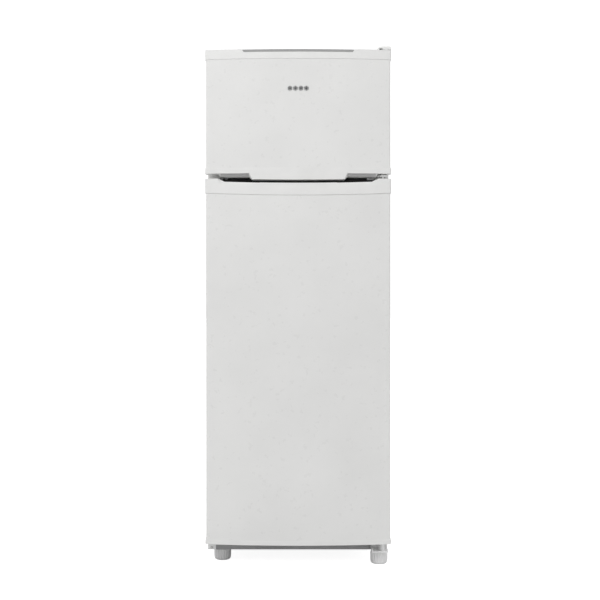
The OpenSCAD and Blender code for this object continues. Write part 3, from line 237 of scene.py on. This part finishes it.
# Nodes that get their own material instead of the one named in their slot; the mullion's near black is
# painted shade of the gap between the doors
OWN = {"front_base_rail": "rail_plastic", "mullion_rail": "gap_shade_plastic", "bottom_hinge": "zinc_plate",
       # The hinge-hole plugs take the rail's darker grey as painted shade of the shaded hole beside them
       "base_corner_plate": "zinc_plate", "middle_hinge": "zinc_plate", "hinge_hole_plugs": "rail_plastic"}
SLOT = {s["node"]: s["material_slot"] for s in frame["record"]["subparts"]}


# ---------- soft edges on the CAD nodes ----------

def smooth_group():
    """Geometry nodes that shade a mesh smooth, with the creases sharper than CREASE kept."""
    g = bpy.data.node_groups.new("smooth_by_crease", "GeometryNodeTree")
    g.interface.new_socket("Geometry", in_out="INPUT", socket_type="NodeSocketGeometry")
    g.interface.new_socket("Geometry", in_out="OUTPUT", socket_type="NodeSocketGeometry")
    n, l = g.nodes, g.links
    inp, out = n.new("NodeGroupInput"), n.new("NodeGroupOutput")
    faces = n.new("GeometryNodeSetShadeSmooth")
    edges = n.new("GeometryNodeSetShadeSmooth")
    edges.domain = "EDGE"
    edges.inputs["Shade Smooth"].default_value = False
    angle = n.new("GeometryNodeInputMeshEdgeAngle")
    over = n.new("FunctionNodeCompare")
    over.operation = "GREATER_THAN"
    over.inputs[1].default_value = CREASE
    l.new(angle.outputs["Unsigned Angle"], over.inputs[0])
    l.new(inp.outputs[0], faces.inputs["Geometry"])
    l.new(faces.outputs[0], edges.inputs["Geometry"])
    l.new(over.outputs[0], edges.inputs["Selection"])
    l.new(edges.outputs[0], out.inputs[0])
    return g


SMOOTH = smooth_group()
# Width in metres and segments of the rounded edges. The freezer door's caps have none, because
# a bevel makes the hairline slits between their solids show.
BEVEL = {
    "top_hinge_cover": (0.0022, 3), "fridge_door_caps": (0.0012, 2),
    "control_housing": (0.002, 3), "relay_cover": (0.002, 3), "front_left_foot": (0.0006, 2),
    "front_right_foot": (0.0006, 2), "middle_hinge": (0.0007, 2), "bottom_hinge": (0.0007, 2),
    "top_hinge": (0.0007, 2), "drip_pan": (0.0009, 2), "front_base_rail": (0.0005, 2),
    "base_frame": (0.0005, 2), "wall_spacers": (0.001, 2), "cabinet_shell": (0.0004, 2),
    "light_switch_button": (0.0006, 2), "crisper_drawer": (0.0009, 2), "chiller_drawer": (0.0009, 2),
    "fridge_door_bins": (0.0009, 2), "freezer_door_bins": (0.0009, 2), "ice_trays": (0.0008, 2),
    "shelf_trims": (0.0006, 2), "thermostat_knob": (0.0006, 2), "shelf_glass": (0.0006, 2),
}


def soften(o, width=0, segments=2):
    w = o.modifiers.new("weld", "WELD")
    w.merge_threshold = WELD
    if width:
        b = o.modifiers.new("bevel", "BEVEL")
        b.width, b.segments, b.limit_method = width, segments, "ANGLE"
        b.angle_limit = CREASE
    s = o.modifiers.new("smooth", "NODES")
    s.node_group = SMOOTH
    n = o.modifiers.new("normals", "WEIGHTED_NORMAL")
    n.keep_sharp = True


# ---------- mesh code for the detailed pieces, in millimetres ----------

def low(n):
    """Lowest corner of a node's box."""
    return [c * 1000 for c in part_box(n)[0]]


def high(n):
    """Highest corner of a node's box."""
    return [c * 1000 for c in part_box(n)[1]]


def bend(cx, cy, r, a0, a1, n=5):
    """Points along an arc from angle a0 to a1, in degrees."""
    steps = [math.radians(a0 + (a1 - a0) * i / n) for i in range(n + 1)]
    return [(cx + r * math.cos(a), cy + r * math.sin(a)) for a in steps]


def rect(a, b, c, d, r, r_far=None):
    """A rectangle from a to b and c to d with round corners of r, or r_far on the side at d."""
    most = min(b - a, d - c) / 2 - 0.02
    r, f = min(r, most), min(r if r_far is None else r_far, most)
    return (bend(b - r, c + r, r, -90, 0) + bend(b - f, d - f, f, 0, 90)
            + bend(a + f, d - f, f, 90, 180) + bend(a + r, c + r, r, 180, 270))


def at_y(ring, y):
    return [(u, y, v) for u, v in ring]


def at_z(ring, z):
    return [(u, v, z) for u, v in ring]


def at_x(ring, x):
    return [(x, u, v) for u, v in ring]


class Piece:
    """Gathers the closed surfaces of one piece."""

    def __init__(self):
        self.v, self.f = [], []

    def loft(self, rings, round_trip=False):
        """A skin over the rings, closed by flat ends or, on a round trip, by the first ring."""
        m, k = len(rings[0]), len(rings)
        faces = []
        for a in range(k if round_trip else k - 1):
            b = (a + 1) % k
            faces += [(a * m + i, a * m + (i + 1) % m, b * m + (i + 1) % m, b * m + i) for i in range(m)]
        if not round_trip:
            faces += [tuple(range(m - 1, -1, -1)), tuple(range((k - 1) * m, k * m))]
        n = len(self.v)
        self.v += [p for r in rings for p in r]
        self.f += [[n + i for i in f] for f in faces]

    def block(self, a, b, r=1.0):
        """A box from a to b with round edges of radius r."""
        r = min(r, *[(q - p) / 2.02 for p, q in zip(a, b)])
        rings = []
        for z, sign in ((a[2] + r, -1), (b[2] - r, 1)):
            for t in ((90, 60, 30, 0) if sign < 0 else (0, 30, 60, 90)):
                inset = r * (1 - math.cos(math.radians(t)))
                plan = rect(a[0] + inset, b[0] - inset, a[1] + inset, b[1] - inset, r - inset)
                rings.append(at_z(plan, z + sign * r * math.sin(math.radians(t))))
        self.loft(rings)

    def turned(self, profile, place, n=48, shape=None):
        """A body of revolution: profile is (radius, height), and place puts it in the frame."""
        rings = []
        for r, h in profile:
            ring = []
            for i in range(n):
                a = 2 * math.pi * i / n
                q = r * (shape(a, h) if shape else 1)
                ring.append(tuple(place @ Vector((q * math.cos(a), q * math.sin(a), h))))
            rings.append(ring)
        self.loft(rings)

    def make(self, name, body, material, stands_for=()):
        """The finished object, riding on its body in place of the CAD nodes it stands for."""
        mesh = bpy.data.meshes.new(name)
        mesh.from_pydata([tuple(c / 1000 for c in p) for p in self.v], [], self.f)
        b = bmesh.new()
        b.from_mesh(mesh)
        bmesh.ops.remove_doubles(b, verts=b.verts, dist=0.000002)
        bmesh.ops.recalc_face_normals(b, faces=b.faces)
        b.to_mesh(mesh)
        b.free()
        o = link(bpy.data.objects.new(name, mesh))
        mesh.materials.append(M[material])
        if stands_for:
            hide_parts(*stands_for)
        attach(o, body)
        soften(o)


for name, o in NODES.items():
    o.data.materials.clear()
    o.data.materials.append(M[OWN.get(name, SLOT[name])])
    soften(o, *BEVEL.get(name, (0, 2)))

LINER_T, LINER_RIM = 2, 9
DOOR_BACK = low("freezer_door_liner")[1]
FRONT = low("freezer_liner")[1]
CAV = high("freezer_liner")[0] - LINER_RIM
BACK = high("freezer_liner")[1] - LINER_T
FLOOR, ROOF = low("fridge_liner")[2] + LINER_RIM, high("fridge_liner")[2] - LINER_RIM
FZ_FLOOR, FZ_ROOF = low("freezer_liner")[2] + LINER_RIM, high("freezer_liner")[2] - LINER_RIM
STEP = high("crisper_drawer")[2] + 4
SHELF_Y0, SHELF_Y1 = low("shelf_trims")[1], high("shelf_trims")[1]


# ---------- mouldings inside the doors ----------

def door_moulding(node, body, z0, z1, ledges):
    """A flat border, a raised round-topped ring with soft corners, and the pan inside it."""
    (_, y0, e0), (half, y1, e1) = low(node), high(node)
    ring_half, pan = CAV - 8, y0 + 12
    p = Piece()
    rings = [at_y(rect(-half + i, half - i, e0 + i, e1 - i, 8), y)
             for i, y in ((0, y0), (0, y0 + 1.4), (0.6, y0 + 2))]
    path = bend(-3, y0 + 5, 3, -90, 0, 4)
    path += bend(3, y1 - 3, 3, 180, 90, 4) + [(7, y1 + 0.2)] + bend(11, y1 - 3, 3, 90, 0, 4)
    path += bend(20, pan + 6, 6, 180, 270, 4)
    for i, y in path:
        r = 6 if i < 2 else 6 + min(10, (i - 2) * 1.1)
        rings.append(at_y(rect(-ring_half + i, ring_half - i, z0 + i, z1 - i, r), y))
    p.loft(rings)
    for z in ledges:
        for s in (-1, 1):
            x = sorted((s * (ring_half - 20), s * (ring_half - 12)))
            p.block((x[0], pan - 1, z - 10), (x[1], pan + 30, z - 0.4), 2.5)
    p.make(node + "_moulding", body, "liner_plastic", [node])


# Each bin is (height of its floor, how deep it is)
BIN_Y = DOOR_BACK + 15
FRIDGE_BINS = [(FLOOR + 24, 96), (FLOOR + 340, 66), (FLOOR + 590, 66), (FLOOR + 840, 66)]
FREEZER_BINS = [(FZ_FLOOR + 24, 62), (FZ_FLOOR + 171, 62)]
door_moulding("freezer_door_liner", "freezer_door", FZ_FLOOR + 6, FZ_ROOF - 6, [z for z, h in FREEZER_BINS])
door_moulding("fridge_door_liner", "fridge_door", FLOOR + 6, ROOF - 10, [z for z, h in FRIDGE_BINS])


FILLET = (0, 0.4, 0.8, 1.2, math.pi / 2)


def door_bins(node, bins, depth):
    """Open bins that slope in towards the foot, with round corners, raised lines and a thick rim."""
    p = Piece()
    half = high(node)[0]
    for z0, h in bins:
        def ring(inset, z):
            far = BIN_Y + depth - 8 * (1 - (z - z0) / h) - inset
            near, far_r = max(1, 5 - inset), max(1, 20 - inset)
            return at_z(rect(-half + inset, half - inset, BIN_Y + inset, far, near, far_r), z)

        rim = z0 + h
        outer = [(5 - 5 * math.sin(t), z0 + 5 - 5 * math.cos(t)) for t in FILLET]
        for k in (0.26, 0.36, 0.46):
            z = z0 + k * h
            outer += [(0, z), (-0.8, z + 0.9), (-0.8, z + 2.1), (0, z + 3)]
        outer += [(0, rim - 8), (-1.3, rim - 6.5), (-1.3, rim - 1.2), (-0.9, rim - 0.4), (-0.2, rim)]
        inner = [(1.6, rim), (2.1, rim - 0.5), (2.3, rim - 1.4)]
        inner += [(7.3 - 5 * math.cos(t), z0 + 7.3 - 5 * math.sin(t)) for t in FILLET]
        p.loft([ring(i, z) for i, z in outer + inner])
    return p


p = door_bins("freezer_door_bins", FREEZER_BINS, 62)
p.make("freezer_door_bins_moulded", "freezer_door", "bin_plastic", ["freezer_door_bins"])
p = door_bins("fridge_door_bins", FRIDGE_BINS, 95)
half = high("fridge_door_bins")[0]
LID_Z = FRIDGE_BINS[3][0] + 138
for s in (-1, 1):
    lug = rect(BIN_Y, BIN_Y + 24, LID_Z - 128, LID_Z + 10, 0.6, 11.9)
    hole = rect(BIN_Y + 8.8, BIN_Y + 15.2, LID_Z - 3.2, LID_Z + 3.2, 3.2)
    x = sorted((s * (half - 7), s * half))
    p.loft([at_x(lug, x[0]), at_x(lug, x[1]), at_x(hole, x[1]), at_x(hole, x[0])], round_trip=True)
p.make("fridge_door_bins_moulded", "fridge_door", "bin_plastic", ["fridge_door_bins"])


# ---------- gaskets ----------

def gasket(node, body):
    """Bellows, magnet pocket and lips, with the corners welded at 45 degrees."""
    (_, y0, z0), (half, y1, z1) = low(node), high(node)
    t = y1 - y0
    profile = [(0.6, 0), (17.4, 0), (18, 0.8), (17.6, 2.2), (13, 2.6), (11.6, 3.4), (13.4, 4.4),
               (15.2, 5.2), (15.4, 6), (14, 6.6), (12.4, 7.2), (13.2, 7.9), (15, 8.4), (15.2, t - 1.6),
               (14.4, t - 0.5), (12.6, t), (4.4, t), (2.8, t - 0.5), (2.1, t - 1.6), (2.2, 8.2), (3.6, 7.4),
               (3.4, 6.6), (2.2, 5.8), (2.4, 4.8), (4.2, 3.8), (4, 2.8), (1.4, 2.4), (0.1, 1.6)]
    p = Piece()
    p.loft([[(sx * (half - u), y0 + v, (z0 + u) if sz < 0 else (z1 - u)) for u, v in profile]
            for sx, sz in ((1, -1), (1, 1), (-1, 1), (-1, -1))], round_trip=True)
    p.make(node + "_bellows", body, "gasket_rubber", [node])


gasket("freezer_door_gasket", "freezer_door")
gasket("fridge_door_gasket", "fridge_door")


# ---------- liners of the two compartments ----------

def liner(node, z_roof, path, extras):
    """A vacuum-formed box, LINER_T thick. path is (y, floor height) from front to back.
    extras are blocks (corner, corner, radius) for the right wall, mirrored to the left."""
    def ring(o, y, z):
        r = 1.5 if o > 8 else max(1, 15 + o)
        return at_y(rect(-CAV - o, CAV + o, z - o, z_roof + o, r), y)

    z_front, z_back = path[0][1], path[-1][1]
    outer = [ring(q[0], q[1], z_back) for q in reversed(bend(-12, BACK - 12, 14, 0, 90, 4))]
    outer += [ring(LINER_T, y + LINER_T, z) for y, z in reversed(path)]
    rim = [ring(o, FRONT + d, z_front) for o, d in ((2, 2), (9, 2), (9, 0.4), (8.6, 0), (3, 0))]
    rim += [ring(q[0], q[1], z_front) for q in bend(3, FRONT + 3, 3, 270, 180, 4)]
    inner = [ring(0, y, z) for y, z in path]
    inner += [ring(q[0], q[1], z_back) for q in bend(-14, BACK - 14, 14, 0, 90, 4)]
    p = Piece()
    p.loft(outer + rim + inner)
    for a, b, r in extras:
        for s in (-1, 1):
            x = sorted((s * a[0], s * b[0]))
            p.block((x[0], a[1], a[2]), (x[1], b[1], b[2]), r)
    return p


z = low("freezer_shelf")[2]
liner("freezer_liner", FZ_ROOF, [(FRONT + 6, FZ_FLOOR), (BACK - 16, FZ_FLOOR)],
      [((CAV - 12, SHELF_Y0 - 14, z - 8), (CAV + 1, BACK - 34, z), 2.5)]
      ).make("freezer_liner_moulded", "cabinet", "liner_plastic", ["freezer_liner"])

first = STEP + 130
pitch = (ROOF - 190 - first) / 8
strips = [((CAV - 6, SHELF_Y0 + 8, z - 8), (CAV + 1, SHELF_Y1, z), 2.2)
          for z in [first + i * pitch for i in range(9)] + [STEP + 8]]
z = high("chiller_drawer")[2]
strips.append(((CAV - 9, SHELF_Y0 + 16, z - 11.3), (CAV + 1, BACK - 60, z - 3.3), 2))
step = [(FRONT + 6, FLOOR)] + bend(64, FLOOR + 16, 16, -90, -8, 5) + bend(98, STEP - 14, 14, 174, 90, 5)
step.append((BACK - 16, STEP))
fridge = liner("fridge_liner", ROOF, step, strips)
x, y, z = (c - d for c, d in zip(high("light_switch_button"), (3.5, 12, 3.5)))
case = [(y + 34, 0), (y + 9, 0), (y + 7.2, 0.6), (y + 6.6, 2)]
case = [at_y(rect(x - 9 + i, x + 10 - i, z - 13 + i, z + 13 - i, 3 - i), v) for v, i in case]
case += [at_y(rect(x - 2.4, x + 2.4, z - 2.4, z + 2.4, 2.4), v) for v in (y + 6.6, y + 34)]
fridge.loft(case, round_trip=True)
fridge.make("fridge_liner_moulded", "cabinet", "liner_plastic", ["fridge_liner"])


# ---------- drawers and ice trays ----------

def drawer(node, half, reach, lean, lip):
    """A clear tub that leans in towards its floor, with a grip along the front that stands out
    by reach and stops lip short of each side."""
    (_, y, z0), (_, y1, z1) = low(node), high(node)
    y0 = y + reach
    p = Piece()

    def ring(inset, z):
        k = 1 - (z - z0) / (z1 - z0)
        front, back = y0 + lean[0] * k + inset, y1 - lean[1] * k - inset
        return at_z(rect(-half + inset, half - inset, front, back, max(2, 16 - inset)), z)

    outer = [(8 - 8 * math.sin(t), z0 + 8 - 8 * math.cos(t)) for t in FILLET]
    for k in (0.62, 0.7):
        z = z0 + k * (z1 - z0)
        outer += [(0, z), (-0.9, z + 1), (-0.9, z + 2.6), (0, z + 3.6)]
    outer += [(0, z1 - 9), (-1.8, z1 - 7), (-1.8, z1 - 1), (-1.2, z1 - 0.2)]
    inner = [(1.8, z1 - 0.2), (2.5, z1 - 1.2)]
    inner += [(10.5 - 8 * math.cos(t), z0 + 10.5 - 8 * math.sin(t)) for t in FILLET]
    p.loft([ring(i, z) for i, z in outer + inner])
    w = half - lip
    grip = [(y + reach + 1, z1), (y + 3, z1)] + bend(y + 3, z1 - 3, 3, 100, 180, 4)
    grip += [(y, z1 - reach - 1), (y + 1.2, z1 - reach - 2), (y + 2.6, z1 - reach - 1)]
    grip += bend(y + 5, z1 - 5.2, 2.4, 180, 100, 4) + [(y + reach + 1, z1 - 3)]
    p.loft([at_x(grip, x) for x in (-w, w)])
    return p


p = drawer("crisper_drawer", high("crisper_drawer")[0], 12, (10, 14), 60)
p.make("crisper_drawer_moulded", "crisper", "clear_plastic", ["crisper_drawer"])
p = drawer("chiller_drawer", CAV - 12, 10, (6, 6), 70)
y0, (_, y1, z1) = low("chiller_drawer")[1] + 10, high("chiller_drawer")
for s in (-1, 1):
    x = sorted((s * (CAV - 13), s * (CAV - 3)))
    p.block((x[0], y0, z1 - 3), (x[1], y1, z1), 1)
p.make("chiller_drawer_moulded", "chiller", "clear_plastic", ["chiller_drawer"])

p = Piece()
(tx0, ty0, tz0), (tx1, ty1, tz1) = low("ice_trays"), high("ice_trays")
TRAY_W, CUP_W, CUPS_LONG = 105, 50.5, 7
# A cup's steps are (inset, height, corner radius), and the edge's are (outset, height)
cup = ((2, tz1 - 1.1, 7), (2.8, tz1 - 2, 7), (5, tz0 + 8, 9), (7, tz0 + 4.4, 9), (11, tz0 + 3, 6))
skin = [(i - 1.1, z - 1.1, r) for i, z, r in reversed(cup)] + [(0, tz1 - 2.1, 0), (0, tz1 - 1, 0)]
edge = ((0, tz1 - 2.1), (0, tz1 - 1), (0.6, tz1 - 0.2), (1.4, tz1), (2, tz1 - 0.6), (2, tz1 - 9),
        (1, tz1 - 9), (1, tz1 - 2.1))
for left in (tx0, tx1 - TRAY_W):
    for i in range(2):
        for j in range(CUPS_LONG):
            a, b = left + 2 + i * CUP_W, left + 2 + (i + 1) * CUP_W
            c, d = ty0 + 2 + j * 256 / CUPS_LONG, ty0 + 2 + (j + 1) * 256 / CUPS_LONG
            p.loft([at_z(rect(a + k, b - k, c + k, d - k, r), z) for k, z, r in (*skin, *cup)])
    x0, x1 = left + 2, left + TRAY_W - 2
    p.loft([at_z(rect(x0 - k, x1 + k, ty0 + 2 - k, ty1 - 2 + k, k), z) for k, z in edge], round_trip=True)
p.make("ice_trays_moulded", "cabinet", "tray_plastic", ["ice_trays"])


# ---------- feet, knob and dial ----------

def foot(node, body, stem):
    """A fluted foot on a threaded stem that stands stem above it."""
    (x0, y0, _), (x1, y1, top) = low(node), high(node)
    r = (x1 - x0) / 2
    h = top - stem
    profile = [(r * 0.3, 0.8), (r * 0.34, 0), (r - 7, 0), (r - 4.6, 1), (r - 2.4, 3.4), (r - 1, 7.4),
               (r - 0.3, 14), (r - 0.1, h - 7), (r - 0.6, h - 4), (r - 2, h - 2), (r - 4.4, h - 0.8),
               (r - 8, h), (r * 0.4, h)]

    def flute(a, z):
        depth = 0.085 * min(1, max(0, (z - 2) / 5)) * min(1, max(0, (h - 2 - z) / 4))
        return 1 - depth * (0.5 - 0.5 * math.cos(18 * a)) ** 1.6

    p = Piece()
    place = Matrix.Translation(((x0 + x1) / 2, (y0 + y1) / 2, 0))
    p.turned(profile, place, 216, flute)
    thread = [(5, h - 0.5)]
    z = h
    while z < top - 1.5:
        thread += [(5, z), (4.3, z + 0.6), (5, z + 1.2)]
        z += 1.2
    p.turned(thread + [(4.6, top), (1, top)], place, 32)
    p.make(node + "_fluted", body, "foot_plastic", [node])


foot("front_left_foot", "left_foot", 14)
foot("front_right_foot", "right_foot", 16)


def knurl(a, h):
    return 1 - (0.03 * (0.5 + 0.5 * math.cos(36 * a)) if 1 < h < 7 else 0)


(x0, _, z0), (x1, y1, z1) = low("thermostat_knob"), high("thermostat_knob")
cx, cz = (x0 + x1) / 2, (z0 + z1) / 2
place = Matrix.Translation((cx, y1 - 14, cz)) @ Matrix.Rotation(math.radians(90), 4, "X")
p = Piece()
dome = [(3, -14), (3, 0.4), (14.4, 0.5), (15, 1.1), (15, 6.4), (14.3, 7.4), (12.6, 8.2), (11, 10),
        (9.6, 10.6), (1, 10.7)]
p.turned(dome, place, 144, knurl)
bar = [at_z(rect(-2.5 + i, 2.5 - i, -11.4 + i, 11.4 - i, 2.4), z)
       for i, z in ((0, 9), (0, 14.8), (0.3, 15.6), (1, 16))]
p.loft([[tuple(place @ Vector(q)) for q in r] for r in bar])
p.make("thermostat_knob_fluted", "knob", "grey_knob_plastic", ["thermostat_knob"])

# Marks on the housing, longer towards the coldest end of the dial, and none past its edges
marks = Piece()
MARKS, SWEEP, MARK_R, HALF_WIDE = 9, 270, 16.6, 0.45
housing_low, housing_high = low("control_housing"), high("control_housing")
cy = housing_low[1]
for i in range(MARKS):
    a = math.radians(-SWEEP / 2 + i * SWEEP / (MARKS - 1) + 90)
    u, v = Vector((math.cos(a), 0, math.sin(a))), Vector((-math.sin(a), 0, math.cos(a)))
    c = Vector((cx, 0, cz))
    near, far, side = c + u * MARK_R, c + u * (MARK_R + 1.6 + 0.25 * i), v * HALF_WIDE
    quad = [near - side, far - side, far + side, near + side]
    if all(housing_low[2] + 1 < q.z < housing_high[2] - 1 for q in quad):
        marks.loft([[(q.x, y, q.z) for q in quad] for y in (cy - 0.25, cy + 0.2)])
marks.make("dial_marks", "cabinet", "dark_grey_plastic")


# ---------- stage, camera and light ----------

def plane(name, size, z):
    mesh = bpy.data.meshes.new(name)
    h = size / 2
    mesh.from_pydata([(-h, -h, z), (h, -h, z), (h, h, z), (-h, h, z)], [], [(0, 1, 2, 3)])
    return link(bpy.data.objects.new(name, mesh))


# The floor and the background glow only towards the camera, so the backdrop stays even
floor = plane("floor", 60, 0)
s = Shader("floor_paint", Roughness=0.9)
s.color(s.mix(s.ramp(s.noise(3, 3), 0, 1), (0.66, 0.66, 0.66), (0.70, 0.70, 0.70)))
glow = s.node("ShaderNodeEmission")
glow.inputs["Strength"].default_value = 0.9
sum_up = s.node("ShaderNodeAddShader")
s.link(s.b.outputs[0], sum_up.inputs[0])
s.link(glow.outputs[0], sum_up.inputs[1])
path = s.node("ShaderNodeLightPath")
pick = s.node("ShaderNodeMixShader")
s.link(path.outputs["Is Camera Ray"], pick.inputs[0])
s.link(s.b.outputs[0], pick.inputs[1])
s.link(sum_up.outputs[0], pick.inputs[2])
s.link(pick.outputs[0], s.t.nodes["Material Output"].inputs["Surface"])
floor.data.materials.append(s.m)

world = bpy.data.worlds.new("studio")
scene.world = world
world.use_nodes = True
wt = world.node_tree


def wnode(kind):
    return wt.nodes.new(kind)


# The light from around grows with height
bg = wt.nodes["Background"]
up = wnode("ShaderNodeSeparateXYZ")
wt.links.new(wnode("ShaderNodeTexCoord").outputs["Generated"], up.inputs[0])
height = wnode("ShaderNodeMapRange")
for k, v in zip(("From Min", "From Max", "To Min", "To Max"), (-0.3, 0.8, 0.27, 0.87)):
    height.inputs[k].default_value = v
wt.links.new(up.outputs["Z"], height.inputs["Value"])
wt.links.new(height.outputs["Result"], bg.inputs["Strength"])
bg.inputs["Color"].default_value = (1, 1, 1, 1)
seen = wnode("ShaderNodeBackground")
seen.inputs["Color"].default_value = (1, 1, 1, 1)
seen.inputs["Strength"].default_value = 1.1
path = wnode("ShaderNodeLightPath")
pick = wnode("ShaderNodeMixShader")
wt.links.new(path.outputs["Is Camera Ray"], pick.inputs[0])
wt.links.new(bg.outputs[0], pick.inputs[1])
wt.links.new(seen.outputs[0], pick.inputs[2])
wt.links.new(pick.outputs[0], wt.nodes["World Output"].inputs["Surface"])


def area_light(name, at, aim, size, power):
    d = bpy.data.lights.new(name, "AREA")
    d.shape, d.size, d.size_y, d.energy = "RECTANGLE", size[0], size[1], power
    o = link(bpy.data.objects.new(name, d))
    o.location = at
    o.rotation_euler = (Vector(aim) - Vector(at)).to_track_quat("-Z", "Y").to_euler()


area_light("key", (-1.6, -2.6, 4.4), (0, -0.3, 1.3), (2.0, 2.0), 66)
area_light("fill", (3.0, -3.0, 2.6), (0, -0.3, 1.4), (2.5, 2.5), 6)
area_light("back", (1.5, 3.6, 3.0), (0, 0.3, 0.9), (2.5, 2.5), 26)

cam = link(bpy.data.objects.new("camera", bpy.data.cameras.new("camera")))
cam.data.sensor_width = 36
cam.data.lens = 63.5
cam.location = (0.0, -3.823, 0.9136)
cam.rotation_euler = (math.radians(90), 0, 0)
cam.data.shift_x = 0.003
cam.data.shift_y = -0.0167
scene.camera = cam
